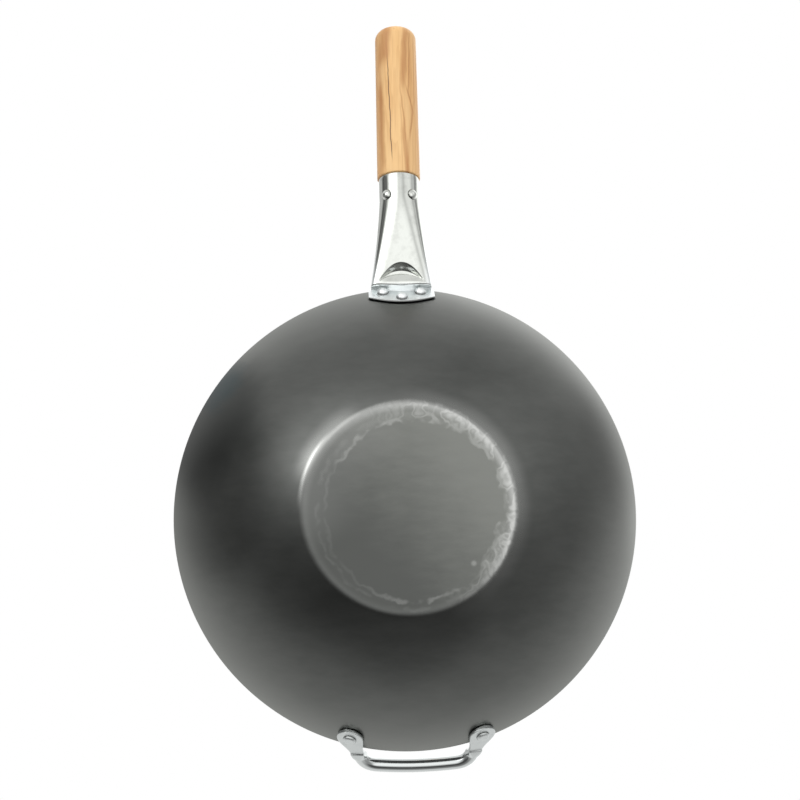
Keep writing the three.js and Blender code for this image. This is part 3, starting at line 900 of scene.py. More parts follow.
class TurnTool(NodeTool):
    """Turns a profile of points in the XZ plane about Z, with the mark that each of them carries."""

    def __init__(self) -> None:
        """Makes the tree with its number of segments."""
        super().__init__("turned_body", {"Segments": "NodeSocketInt"})

    def plan(self) -> Wire:
        """Lays a grid round the axis, one column of profile points for each segment.

        Returns:
            The turned body.
        """
        graph, segments = self.graph, self.given.also("Segments")
        count, index = self.rows()
        grid = self.grid(segments + 1, count)
        row = index.math("FLOORED_MODULO", count)
        angle = (index / count).math("FLOOR") / segments * FULL_TURN
        place = self.sampled(graph.add("GeometryNodeInputPosition"), row, "FLOAT_VECTOR")
        radius, _, height = graph.split(place)
        turned = graph.joined(radius * angle.math("COSINE"), radius * angle.math("SINE"), height)
        moved = graph.add("GeometryNodeSetPosition", inputs={"Geometry": grid, "Position": turned})
        mark = self.sampled(self.named(MARK, "FLOAT"), row, "FLOAT")
        settings = {"data_type": "FLOAT", "domain": "POINT"}
        values = {"Geometry": moved, "Name": MARK, "Value": mark}
        return self.welded(graph.add("GeometryNodeStoreNamedAttribute", settings, values))


class SweepTool(NodeTool):
    """Sweeps a rounded section along a path whose points carry the section's directions and sizes."""

    def __init__(self) -> None:
        """Makes the tree with its number of sides."""
        super().__init__("swept_rod", {"Sides": "NodeSocketInt"})

    def plan(self) -> Wire:
        """Lays a grid along the path, one row of section points for each point of the path.

        Returns:
            The swept rod.
        """
        graph, sides = self.graph, self.given.also("Sides")
        count, index = self.rows()
        row_length = sides + 1
        grid = self.grid(count, row_length)
        row = (index / row_length).math("FLOOR")
        angle = index.math("FLOORED_MODULO", row_length) / sides * FULL_TURN

        centre = self.sampled(graph.add("GeometryNodeInputPosition"), row, "FLOAT_VECTOR")
        wide = self.sampled(self.named("wide", "FLOAT_VECTOR"), row, "FLOAT_VECTOR")
        thick = self.sampled(self.named("thick", "FLOAT_VECTOR"), row, "FLOAT_VECTOR")
        squareness = self.sampled(self.named("squareness", "FLOAT"), row, "FLOAT")

        across = angle.math("COSINE")
        rise = (1 - abs(across) ** squareness).math("MAXIMUM", 0.0) ** (1 / squareness)
        rise = rise * angle.math("SINE").math("SIGN")
        place = graph.vector("ADD", centre, graph.scaled(wide, across))
        place = graph.vector("ADD", place, graph.scaled(thick, rise))
        moved = graph.add("GeometryNodeSetPosition", inputs={"Geometry": grid, "Position": place})
        return self.welded(moved)


class RivetTool(NodeTool):
    """Sets copies of a rivet on points, each along the point's own outward direction."""

    def __init__(self) -> None:
        """Makes the tree with the rivet that it copies."""
        super().__init__("set_rivets", {"Rivet": "NodeSocketObject"})

    def plan(self) -> Wire:
        """Puts one instance on each point.

        Returns:
            The instances.
        """
        graph = self.graph
        out = self.named("out", "FLOAT_VECTOR")
        turn = graph.add("FunctionNodeAlignRotationToVector", {"axis": "Z"}, {"Vector": out})
        rivet = graph.add("GeometryNodeObjectInfo", inputs={"Object": self.given.also("Rivet")})
        return graph.add("GeometryNodeInstanceOnPoints", inputs={
            "Points": self.given, "Instance": rivet.also("Geometry"), "Rotation": turn,
        })


def smooth(value: Number, low: float, high: float) -> Number:
    """Smooth step from 0 at low to 1 at high."""
    share = np.clip((value - low) / (high - low), 0, 1)
    return share * share * (3 - 2 * share)


def eased(value: Number, low: float, high: float) -> Number:
    """Even slope from 0 at low to 1 at high, with ends that are softened a little."""
    share = np.clip((value - low) / (high - low), 0, 1)
    return mixed(share, smooth(share, 0, 1), EASING)


def mixed(low: Number, high: Number, share: Number) -> Number:
    """Value between two, by a share."""
    return low + (high - low) * share


def unit(vector: np.ndarray) -> np.ndarray:
    """The vector at length one."""
    return vector / np.linalg.norm(vector)


def bezier(points: Sequence[Number], share: float) -> Number:
    """Point of a cubic curve.

    Args:
        points: The curve's start, its two handles and its end.
        share: Share of the way.

    Returns:
        The point.
    """
    a, b, c, d = points
    rest = 1 - share
    return rest**3 * a + 3 * rest**2 * share * b + 3 * rest * share**2 * c + share**3 * d


def steps(start: float, end: float, count: int) -> np.ndarray:
    """Even steps from a start, which is left out, to an end."""
    return np.linspace(start, end, count + 1)[1:]


def arc(centre: Sequence[float], radius: float, start: float, end: float, count: int) -> np.ndarray:
    """Points of an arc in the XZ plane as radii and heights, without its first point."""
    angle = steps(start, end, count)
    return np.column_stack([centre[0] + radius * np.cos(angle), centre[1] + radius * np.sin(angle)])


def rounded(start: np.ndarray, corner: np.ndarray, end: np.ndarray, count: int) -> np.ndarray:
    """Points of a rounded corner, without its first point."""
    share = steps(0, 1, count)[:, None]
    return (1 - share) ** 2 * start + 2 * share * (1 - share) * corner + share**2 * end


def section(sides: int, squareness: float) -> tuple[np.ndarray, np.ndarray]:
    """Points round a section as shares of its half width and half height.

    Args:
        sides: Number of points.
        squareness: Shape of the section: 2 is an ellipse, more is squarer.

    Returns:
        Shares of the half width, and of the half height.
    """
    angle = np.arange(sides) / sides * FULL_TURN
    across = np.cos(angle)
    rise = np.maximum(1 - np.abs(across) ** squareness, 0) ** (1 / squareness)
    return across, rise * np.sign(np.round(np.sin(angle), SINE_DIGITS))


def with_values(mesh: bpy.types.Mesh, **values: np.ndarray) -> bpy.types.Mesh:
    """Gives each point of a mesh named values.

    Args:
        mesh: The mesh.
        values: One number or vector for each point, by attribute name.

    Returns:
        The same mesh.
    """
    for key, value in values.items():
        value = np.asarray(value, np.float32)
        is_vector = value.ndim > 1
        attribute = mesh.attributes.new(key, "FLOAT_VECTOR" if is_vector else "FLOAT", "POINT")
        attribute.data.foreach_set("vector" if is_vector else "value", value.ravel())
    return mesh


def points_mesh(name: str, places: np.ndarray, **values: np.ndarray) -> bpy.types.Mesh:
    """Loose points that carry named values.

    Args:
        name: Name of the mesh.
        places: One place for each point.
        values: One number or vector for each point, by attribute name.

    Returns:
        The mesh.
    """
    mesh = bpy.data.meshes.new(name)
    mesh.from_pydata(np.asarray(places, float).tolist(), [], [])
    return with_values(mesh, **values)


def turned(
    name: str, outline: np.ndarray, mark: np.ndarray, material: bpy.types.Material, segments: int
) -> bpy.types.Mesh:
    """An outline turned about Z.

    Args:
        name: Name of the mesh.
        outline: Radii and heights.
        mark: Share of the second colour at each point of the outline: the bowl's coating, the rivets'
            painted shade.
        material: Finish of the body.
        segments: Number of segments round it.

    Returns:
        The turned body.
    """
    places = np.column_stack([outline[:, 0], 0 * mark, outline[:, 1]])
    return TurnTool().run(points_mesh(name, places, mark=mark), material, Segments=segments)


def turned_out(mesh: bpy.types.Mesh) -> bpy.types.Mesh:
    """Merges a mesh's doubles, turns its faces outwards and shades them smooth.

    Args:
        mesh: The mesh.

    Returns:
        The same mesh.
    """
    work = bmesh.new()
    work.from_mesh(mesh)
    bmesh.ops.remove_doubles(work, verts=work.verts, dist=DOUBLES)
    bmesh.ops.recalc_face_normals(work, faces=work.faces)
    for face in work.faces:
        face.smooth = True
    work.to_mesh(mesh)
    work.free()
    return mesh


def skin(name: str, rings: np.ndarray) -> bpy.types.Mesh:
    """Closed mesh over rings of equal size, of which the first and the last close on themselves.

    Args:
        name: Name of the mesh.
        rings: Points of each ring.

    Returns:
        The mesh.
    """
    index = np.arange(rings.shape[0] * rings.shape[1]).reshape(rings.shape[:2])
    beside = np.roll(index, -1, axis=1)
    faces = np.stack([index[:-1], beside[:-1], beside[1:], index[1:]], axis=-1).reshape(-1, 4)
    mesh = bpy.data.meshes.new(name)
    mesh.from_pydata(rings.reshape(-1, 3).tolist(), [], faces.tolist())
    return mesh


@dataclass(frozen=True)
class SideArc:
    """The arc of the bowl's side: its centre as radius and height, its radius, and its slope at the rim."""

    centre: tuple[float, float]
    radius: float
    rim_slope: float


@dataclass(frozen=True)
class BowlSide:
    """The outside of the bowl: a flat base, a bend and one arc up to the rim."""

    rim_radius: float = 177.8 * MM
    depth: float = 95 * MM
    base_radius: float = 74.5 * MM
    base_bend: float = 12 * MM
    base_slope: float = math.radians(27)
    wall: float = 1.6 * MM

    @cached_property
    def arc(self) -> SideArc:
        """The arc from the end of the bend to the rim.

        Returns:
            The arc.
        """
        run = self.rim_radius - self.base_radius - self.base_bend * math.sin(self.base_slope)
        rise = self.depth - self.base_bend * (1 - math.cos(self.base_slope))
        turn = 2 * (math.atan2(rise, run) - self.base_slope)
        radius = math.hypot(run, rise) / (2 * math.sin(turn / 2))
        slope = self.base_slope + turn
        centre = (self.rim_radius - radius * math.sin(slope), self.depth + radius * math.cos(slope))
        return SideArc(centre, radius, slope)

    def slope(self, depth: Number) -> Number:
        """Slope at a depth down the side from the rim."""
        return self.arc.rim_slope - depth / self.arc.radius

    def point(self, depth: Number, offset: Number) -> np.ndarray:
        """Point of the side in the XZ plane.

        Args:
            depth: Distance down the side from the rim.
            offset: Distance outwards from the side.

        Returns:
            The point.
        """
        slope, radius = self.slope(depth), self.arc.radius + offset
        across, up = self.arc.centre
        return np.stack([across + radius * np.sin(slope), 0 * slope, up - radius * np.cos(slope)], axis=-1)

    def seat(self, depth: float, sideways: float) -> tuple[np.ndarray, np.ndarray]:
        """A rivet's seat on the outer surface, on the +X side.

        Args:
            depth: Distance down the side from the rim.
            sideways: Distance from the XZ plane.

        Returns:
            The rivet's place and its outward direction.
        """
        place = self.point(depth, 0.0)
        azimuth = math.asin(sideways / place[0])
        slope = self.slope(depth)
        around = np.array([math.cos(azimuth), math.sin(azimuth), 0])
        up = np.array([0, 0, 1])
        return around * place[0] + up * place[2], around * math.sin(slope) - up * math.cos(slope)


@dataclass
class Assembly:
    """A sub-assembly that builds its pieces and puts them in the frame."""

    side: BowlSide
    gap: float = 0.3 * MM

    def pieces(self) -> Iterator[bpy.types.Object]:
        """Builds the pieces one by one."""
        raise NotImplementedError

    @staticmethod
    def set_in_frame(
        name: str, mesh: bpy.types.Mesh, slot: Slot, nodes: Sequence[str]
    ) -> bpy.types.Object:
        """Makes a piece of a mesh.

        Args:
            name: Name of the piece.
            mesh: Its mesh, in place and with its material.
            slot: Its material slot in the record; not used.
            nodes: The nodes that it stands for.

        Returns:
            The piece.
        """
        mesh.name = name
        piece = bpy.data.objects.new(name, turned_out(mesh))
        bpy.context.scene.collection.objects.link(piece)
        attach(piece, BODY)
        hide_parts(*nodes)
        return piece


@dataclass
class WokBody(Assembly):
    """The pressed bowl."""

    rim_round: float = 0.7 * MM
    segments: int = 256
    base_points: int = 40
    bend_steps: int = 14
    side_steps: int = 70
    rim_steps: int = 6
    inner_side_steps: int = 60
    inner_bend_steps: int = 12
    finish: BowlSteel = field(default_factory=BowlSteel)

    def profile(self) -> tuple[np.ndarray, np.ndarray]:
        """Outline of the sheet.

        Returns:
            Radii and heights from the middle of the underside over the rim to the middle of the floor, and
            for each of them 0 outside or 1 inside.
        """
        side, down = self.side, -math.pi / 2
        centre, radius, slope = side.arc.centre, side.arc.radius, side.arc.rim_slope
        inner = radius - side.wall
        inner_slope = math.acos((centre[1] - side.depth) / inner)
        trim, inner_trim = self.rim_round / radius, self.rim_round / inner
        bend = (side.base_radius, side.base_bend)
        base = np.linspace(0, side.base_radius, self.base_points)

        outer_corner = np.array([side.rim_radius, side.depth])
        inner_corner = np.array([centre[0] + inner * math.sin(inner_slope), side.depth])
        across = np.array([self.rim_round, 0])
        outside = np.vstack([
            np.column_stack([base, 0 * base]),
            arc(bend, side.base_bend, down, down + side.base_slope, self.bend_steps),
            arc(centre, radius, down + side.base_slope, down + slope - trim, self.side_steps),
        ])
        rim = rounded(outside[-1], outer_corner, outer_corner - across, self.rim_steps)
        inner_top = down + inner_slope - inner_trim
        inside = arc(centre, inner, inner_top, down + side.base_slope, self.inner_side_steps)
        turn_in = rounded(inner_corner + across, inner_corner, inside[0], self.rim_steps)
        floor = np.vstack([
            arc(bend, side.base_bend - side.wall, down + side.base_slope, down, self.inner_bend_steps),
            np.column_stack([base[-2::-1], 0 * base[1:] + side.wall]),
        ])
        outline = np.vstack([outside, rim, [inner_corner + across], turn_in, inside[1:], floor])
        lined = np.arange(len(outline)) > len(outside) + len(rim)
        return outline, lined.astype(float)

    def pieces(self) -> Iterator[bpy.types.Object]:
        """Builds the bowl.

        Yields:
            The bowl.
        """
        outline, lined = self.profile()
        made = turned("wok_body_shell", outline, lined, self.finish.material(), self.segments)
        yield self.set_in_frame("wok_body_shell", made, Slot.BOWL, ["wok_body"])


@dataclass
class LongHandle(Assembly):
    """The socket, its wooden grip, and the rivets and pins that hold them."""

    steel: bpy.types.Material | None = None
    sheet: float = 1.4 * MM
    mouth_radius: float = 15.9 * MM
    straight: float = 19.5 * MM
    flare: float = 69 * MM
    elevation: float = math.radians(12)
    lip_depth: float = 7.5 * MM
    lip_bow: float = 8.5 * MM
    lip_height: float = 8 * MM
    lip_round: float = 4.6 * MM
    lip_pull: float = 0.4
    lip_width: float = 46.8 * MM
    top_rise: float = 2 * MM
    flange_width: float = 51 * MM
    flange_taper: float = 0.4
    flange_bow: float = 11.6 * MM
    flange_margin: float = 2.4 * MM
    rivet_radius: float = 4.5 * MM
    rivet_dome: float = 4 * MM
    rivet_room: float = 1.64 * MM
    rivet_spread: float = 28.6 * MM
    rivet_pitch: float = 10 * MM
    dent_width: float = 34 * MM
    dent_length: float = 9.3 * MM
    dent_depth: float = 4.5 * MM
    dent_from_lip: float = 5.8 * MM
    dent_sag: float = 8.6 * MM
    dent_crease: float = 0.14
    dent_floor: float = 0.42
    dent_open: float = 0.4
    dent_ends: float = 0.7
    dent_rim: float = 0.3
    dent_past: float = 2 * MM
    grip_length: float = 130.9 * MM
    grip_radius: float = 16.9 * MM
    tip_radius: float = 16.4 * MM
    tip_round: float = 8.6 * MM
    shoulder_round: float = 0.8 * MM
    pin_radius: float = 4.4 * MM
    pin_dome: float = 2.6 * MM
    pin_shank: float = 1.8 * MM
    pin_depth: float = 18 * MM
    pin_angle: float = math.radians(40)
    flat_squareness: float = 8
    lip_squareness: float = 4
    round_squareness: float = 2
    early_narrowing: float = 0.53
    late_narrowing: float = 0.8
    wrap_power: float = 4
    bore_step: float = 4 * MM
    # shares of the flange's edge ring where the painted shade is full and where it is gone
    shade_full: float = 0.3
    shade_none: float = 0.9
    sides: int = 160
    edge_rings: int = 8
    flange_rings: int = 23
    lip_rings: int = 24
    dent_rings: int = 60
    flare_rings: int = 40
    mouth_rings: int = 8
    roll_rings: int = 8
    grip_segments: int = 128
    shoulder_steps: int = 6
    grip_steps: int = 49
    tip_steps: int = 24
    end_steps: int = 11

    @cached_property
    def stack(self) -> float:
        """Height of the flange's outer face above the side."""
        return self.gap + self.sheet

    @cached_property
    def rivet_head(self) -> "RivetShape":
        """Rivet that holds the flange."""
        return RivetShape(self.rivet_radius, self.rivet_dome, self.stack, self.side.wall)

    @cached_property
    def pin_head(self) -> "RivetShape":
        """Pin that holds the grip."""
        return RivetShape(self.pin_radius, self.pin_dome, 0, self.sheet, shank=self.pin_shank, inner=False)

    @cached_property
    def axis(self) -> np.ndarray:
        """Direction of the handle."""
        return np.array([math.cos(self.elevation), 0, math.sin(self.elevation)])

    @cached_property
    def under(self) -> np.ndarray:
        """Direction out of the handle's underside."""
        return np.array([math.sin(self.elevation), 0, -math.cos(self.elevation)])

    @cached_property
    def open_top(self) -> np.ndarray:
        """Where the top of the socket leaves the side."""
        return self.side.point(-self.top_rise, self.gap)

    @cached_property
    def lip_ridge(self) -> np.ndarray:
        """Lowest point of the lip."""
        return self.side.point(self.lip_depth, self.stack + self.lip_height)

    @cached_property
    def flare_end(self) -> np.ndarray:
        """Where the flare ends and the round mouth begins, on the handle's axis."""
        return (self.open_top + self.lip_ridge) / 2 + self.axis * self.flare

    @cached_property
    def mouth(self) -> np.ndarray:
        """Middle of the socket's mouth."""
        return self.flare_end + self.axis * self.straight

    @cached_property
    def upper_rivets(self) -> float:
        """Depth of the upper row of rivets."""
        lip = self.lip_depth - self.lip_bow * (self.rivet_spread / self.lip_width) ** 2
        return lip + self.rivet_radius + self.rivet_room

    @cached_property
    def flange_reach(self) -> float:
        """Depth of the flange's lowest edge."""
        return self.upper_rivets + self.rivet_pitch + self.rivet_radius + self.flange_margin

    def side_ring(
        self, top: np.ndarray, bottom: np.ndarray, half_width: float, squareness: float, bow: float
    ) -> np.ndarray:
        """Ring of the socket that lies on the side.

        Args:
            top: Depth and offset of the ring's inner face.
            bottom: Depth and offset of its outer face.
            half_width: Half of its width.
            squareness: Shape of its section.
            bow: How far its edges are drawn up towards the rim.

        Returns:
            The ring's points.
        """
        across, rise = section(self.sides, squareness)
        place = top + (bottom - top) * ((1 + rise) / 2)[:, None]
        point = self.side.point(place[:, 0] - bow * across**2, place[:, 1])
        sideways = across * half_width
        return np.column_stack([np.sqrt(point[:, 0] ** 2 - sideways**2), sideways, point[:, 2]])

    def flange_ring(self, share: float) -> np.ndarray:
        """Ring of the flange.

        Args:
            share: Share of the way from the lip to the rounded lower edge.

        Returns:
            The ring's points.
        """
        depth = mixed(self.lip_depth, self.flange_reach, share)
        to_edge = min((self.flange_reach - depth) / self.sheet, 1)
        half = self.sheet / 2 * math.sqrt(max(0, 1 - (1 - to_edge) ** 2))
        middle = self.gap + self.sheet / 2
        half_width = mixed(self.lip_width, self.flange_width, smooth(share, 0, self.flange_taper)) / 2
        bow = mixed(self.lip_bow, self.flange_bow, share)
        top, bottom = np.array([depth, middle - half]), np.array([depth, middle + half])
        return self.side_ring(top, bottom, half_width, self.flat_squareness, bow)

    def lip_ring(self, share: float) -> np.ndarray:
        """Ring of the lip.

        Args:
            share: Share of the way from the flange to the ridge.

        Returns:
            The ring's points.
        """
        turn = self.side.slope(self.lip_depth) - self.elevation
        foot = np.array([self.lip_depth, self.stack])
        ridge = foot + [0, self.lip_height]
        lead = np.array([math.cos(turn), -math.sin(turn)]) * self.lip_round
        bottom = bezier([foot, mixed(foot, ridge, self.lip_pull), ridge + lead, ridge], share)
        top = np.array([mixed(self.lip_depth, -self.top_rise, share), self.gap])
        squareness = mixed(self.flat_squareness, self.lip_squareness, share)
        return self.side_ring(top, bottom, self.lip_width / 2, squareness, self.lip_bow * (1 - share))

    def flare_curve(self, start: np.ndarray, end: np.ndarray, share: float) -> np.ndarray:
        """Point of a line that leaves start for end and arrives along the handle."""
        third = np.linalg.norm(end - start) / 3
        return bezier([start, start + (end - start) / 3, end - self.axis * third, end], share)

    def dent(self, distance: float, sideways: np.ndarray) -> np.ndarray:
        """Depth of the crescent dent: the sunken lip, a short crease, a floor and a long wall.

        Args:
            distance: Distance from the lip's ridge along the underside.
            sideways: Distances from the middle.

        Returns:
            The depths.
        """
        share = np.clip(2 * sideways / self.dent_width, -1, 1)
        length = np.maximum(self.dent_length * (1 - share**2), TINY)
        start = self.dent_from_lip + self.dent_length / 2 - self.dent_sag * share**2 - length / 2
        along = (distance - start) / length
        sunken = mixed(eased(along, 0, self.dent_crease), eased(distance / start, 0, 1), self.dent_open)
        wall = 1 - eased(along, self.dent_floor, 1)
        return self.dent_depth * sunken * wall * (1 - share**2) ** self.dent_ends

    def flare_ring(self, share: float) -> np.ndarray:
        """Ring of the flare.

        Args:
            share: Share of the way from the lip's ridge to the round mouth.

        Returns:
            The ring's points.
        """
        to_wall = self.under * self.mouth_radius
        top = self.flare_curve(self.open_top, self.flare_end - to_wall, share)
        bottom = self.flare_curve(self.lip_ridge, self.flare_end + to_wall, share)
        down = unit(bottom - top)
        half_height = np.linalg.norm(bottom - top) / 2
        wide, narrow = self.lip_width / 2, self.mouth_radius
        narrowing = (0, self.early_narrowing, self.late_narrowing, 1)
        half_width = bezier([mixed(wide, narrow, part) for part in narrowing], share)
        squareness = mixed(self.lip_squareness, self.round_squareness, math.sqrt(share))
        across, rise = section(self.sides, squareness)
        sideways = across * half_width
        dent = self.dent(np.linalg.norm(bottom - self.lip_ridge), sideways) * smooth(rise, 0, self.dent_rim)
        point = (top + bottom) / 2 + down * (rise * half_height - dent)[:, None]
        wrapped = np.sqrt(point[:, 0] ** 2 - sideways**2)
        point[:, 0] = mixed(point[:, 0], wrapped, (1 - share) ** self.wrap_power)
        point[:, 1] = sideways
        return point

    def round_ring(self, back: float, radius: float) -> np.ndarray:
        """Round ring of the mouth or the bore.

        Args:
            back: Distance back from the mouth.
            radius: Radius of the ring.

        Returns:
            The ring's points.
        """
        across, rise = section(self.sides, self.round_squareness)
        ring = self.mouth - self.axis * back + self.under * (rise * radius)[:, None]
        ring[:, 1] = across * radius
        return ring

    def socket_mesh(self) -> bpy.types.Mesh:
        """The socket from the flange's edge over the lip and the flare to the mouth and into the bore.

        Returns:
            The mesh, marked with painted shade along the flange's edge.
        """
        edge = self.sheet / (self.flange_reach - self.lip_depth)
        dent_share = (self.dent_from_lip + self.dent_length + self.dent_past) / self.flare
        edge_shares = np.linspace(0, 1, self.edge_rings) ** 2
        rings = [self.flange_ring(1 - edge * share) for share in edge_shares]
        rings += [self.flange_ring(share) for share in steps(1 - edge, 0, self.flange_rings)]
        rings += [self.lip_ring(share) for share in steps(0, 1, self.lip_rings)]
        rings += [self.flare_ring(share) for share in steps(0, dent_share, self.dent_rings)]
        rings += [self.flare_ring(share) for share in steps(dent_share, 1, self.flare_rings)]

        roll, bore = self.sheet / 2, self.mouth_radius - self.sheet
        mouth_steps = steps(self.straight, roll, self.mouth_rings)
        rings += [self.round_ring(back, self.mouth_radius) for back in mouth_steps]
        for angle in steps(0, math.pi, self.roll_rings):
            radius = self.mouth_radius - roll + roll * math.cos(angle)
            rings.append(self.round_ring(roll - roll * math.sin(angle), radius))
        rings += [self.round_ring(back, bore) for back in (self.bore_step, self.straight)]
        rings.append(self.round_ring(self.straight, 0))

        # painted shade along the flange's lower edge
        painted_shade = np.zeros((len(rings), self.sides))
        painted_shade[: self.edge_rings] = 1 - smooth(edge_shares, self.shade_full, self.shade_none)[:, None]
        return with_values(skin("handle_socket_shell", np.array(rings)), mark=painted_shade.ravel())

    def grip_mesh(self, material: bpy.types.Material) -> bpy.types.Mesh:
        """The grip with its tenon, turned about the handle's axis.

        Args:
            material: Finish of the grip.

        Returns:
            The mesh, in place.
        """
        tenon = self.mouth_radius - self.sheet - self.gap
        shoulder = (self.grip_radius - self.shoulder_round, self.shoulder_round)
        tip = (self.tip_radius - self.tip_round, self.grip_length - self.tip_round)
        body_start, body_end = np.array([[self.grip_radius, shoulder[1]], [self.tip_radius, tip[1]]])
        end = steps(tip[0], 0, self.end_steps)
        outline = np.vstack([
            [[0, -self.straight], [tenon, -self.straight], [tenon, 0], [shoulder[0], 0]],
            arc(shoulder, self.shoulder_round, -math.pi / 2, 0, self.shoulder_steps),
            mixed(body_start, body_end, steps(0, 1, self.grip_steps)[:, None]),
            arc(tip, self.tip_round, 0, math.pi / 2, self.tip_steps),
            np.column_stack([end, 0 * end + self.grip_length]),
        ])
        made = turned("wooden_grip_turned", outline, 0 * outline[:, 0], material, self.grip_segments)
        turn = Vector((0, 0, 1)).rotation_difference(Vector(self.axis)).to_matrix().to_4x4()
        made.transform(Matrix.Translation(Vector(self.mouth + self.axis * self.gap)) @ turn)
        return made

    def rivet_seats(self) -> list[tuple[np.ndarray, np.ndarray]]:
        """Seats of the flange's rivets.

        Returns:
            Places and outward directions.
        """
        spread = self.rivet_spread / 2
        return [
            self.side.seat(self.upper_rivets, -spread),
            self.side.seat(self.upper_rivets, spread),
            self.side.seat(self.upper_rivets + self.rivet_pitch, 0),
        ]

    def pin_seats(self) -> list[tuple[np.ndarray, np.ndarray]]:
        """Seats of the grip's pins.

        Returns:
            Places and outward directions.
        """
        seats = []
        for angle in (-self.pin_angle, self.pin_angle):
            out = self.under * math.cos(angle) + np.array([0, math.sin(angle), 0])
            seats.append((self.mouth - self.axis * self.pin_depth + out * self.mouth_radius, out))
        return seats

    def pieces(self) -> Iterator[bpy.types.Object]:
        """Builds the socket, the grip, the rivets and the pins.

        Yields:
            The pieces, one by one.
        """
        socket = self.socket_mesh()
        socket.materials.append(self.steel)
        yield self.set_in_frame("handle_socket_shell", socket, Slot.STEEL, ["handle_socket"])
        wood = GripWood(origin=tuple(self.mouth), elevation=self.elevation).material()
        yield self.set_in_frame("wooden_grip_turned", self.grip_mesh(wood), Slot.WOOD, ["wooden_grip"])
        rivets = self.rivet_head.set_on("socket_rivets", self.rivet_seats(), self.steel)
        nodes = [f"socket_rivet_{place}" for place in ("left", "right", "lower")]
        yield self.set_in_frame("socket_rivets", rivets, Slot.STEEL, nodes)
        pins = self.pin_head.set_on("grip_pins", self.pin_seats(), self.steel)
        yield self.set_in_frame("grip_pins", pins, Slot.STEEL, ["grip_pin_left", "grip_pin_right"])


@dataclass(frozen=True)
class RivetShape:
    """A dome-head rivet along Z, with its wall's outer surface at zero."""

    head: float
    dome: float
    stack: float
    wall: float
    shank: float = 2.6 * MM
    inner: bool = True
    inner_head: float = 5.2 * MM
    inner_dome: float = 1.5 * MM
    sink: float = 0.15 * MM
    foot: float = 0.25 * MM
    foot_share: float = 0.97
    flat: float = 0.0
    painted_shade_rise: float = 0.55
    dome_points: int = 16
    segments: int = 48

    def cap(
        self, radius: float, height: float, base: float, direction: int, flat: float = 0
    ) -> np.ndarray:
        """Outline of a head, from its foot on its base to its crown on the axis.

        Args:
            radius: Radius of the head.
            height: Its height.
            base: Height of its base.
            direction: 1 if it stands up from its base, else -1.
            flat: Radius of the flat top.

        Returns:
            Radii and heights.
        """
        rise, reach = height - self.foot, radius - flat
        sphere = (reach**2 + rise**2) / (2 * rise)
        half = math.asin(min(1, reach / sphere))
        angle = np.linspace(half, 0, self.dome_points)
        heights = self.foot + sphere * (np.cos(angle) - math.cos(half))
        outline = np.column_stack([flat + sphere * np.sin(angle), base + direction * heights])
        crown = [[0, base + direction * height]] if flat else np.empty((0, 2))
        sunk = [radius * self.foot_share, base - direction * self.sink]
        return np.vstack([sunk, [radius, base], outline, crown])

    def outline(self) -> np.ndarray:
        """Outline of the rivet.

        Returns:
            Radii and heights from the inner end to the crown of the head.
        """
        if self.inner:
            low = self.cap(self.inner_head, self.inner_dome, -self.wall, -1)[::-1]
        else:
            low = np.array([[0, -self.wall], [self.shank, -self.wall]])
        return np.vstack([
            low,
            [[self.shank, low[-1, 1]], [self.shank, self.stack - self.sink]],
            self.cap(self.head, self.dome, self.stack, 1, self.flat),
        ])

    def painted_shade(self, heights: np.ndarray) -> np.ndarray:
        """Share of painted shade at heights of the outline: full at the outer head's foot, none on its
        crown.
        """
        share = 1 - smooth(heights - self.stack, 0, self.painted_shade_rise * self.dome)
        return np.where(heights > -self.wall, share, 0)

    def set_on(
        self, name: str, seats: Sequence[tuple[np.ndarray, np.ndarray]], material: bpy.types.Material
    ) -> bpy.types.Mesh:
        """Copies the rivet onto seats.

        Args:
            name: Name of the mesh.
            seats: Places and outward directions.
            material: Finish of the rivets.

        Returns:
            The rivets as one mesh.
        """
        outline = self.outline()
        # the mark is the painted shade round the head's foot
        shape = turned("rivet_outline", outline, self.painted_shade(outline[:, 1]), material, self.segments)
        shape = turned_out(shape)
        rivet = bpy.data.objects.new("rivet", shape)
        places, outward = (np.array(column) for column in zip(*seats))
        made = RivetTool().run(points_mesh(name, places, out=outward), material, Rivet=rivet)
        bpy.data.objects.remove(rivet)
        bpy.data.meshes.remove(shape)
        return made


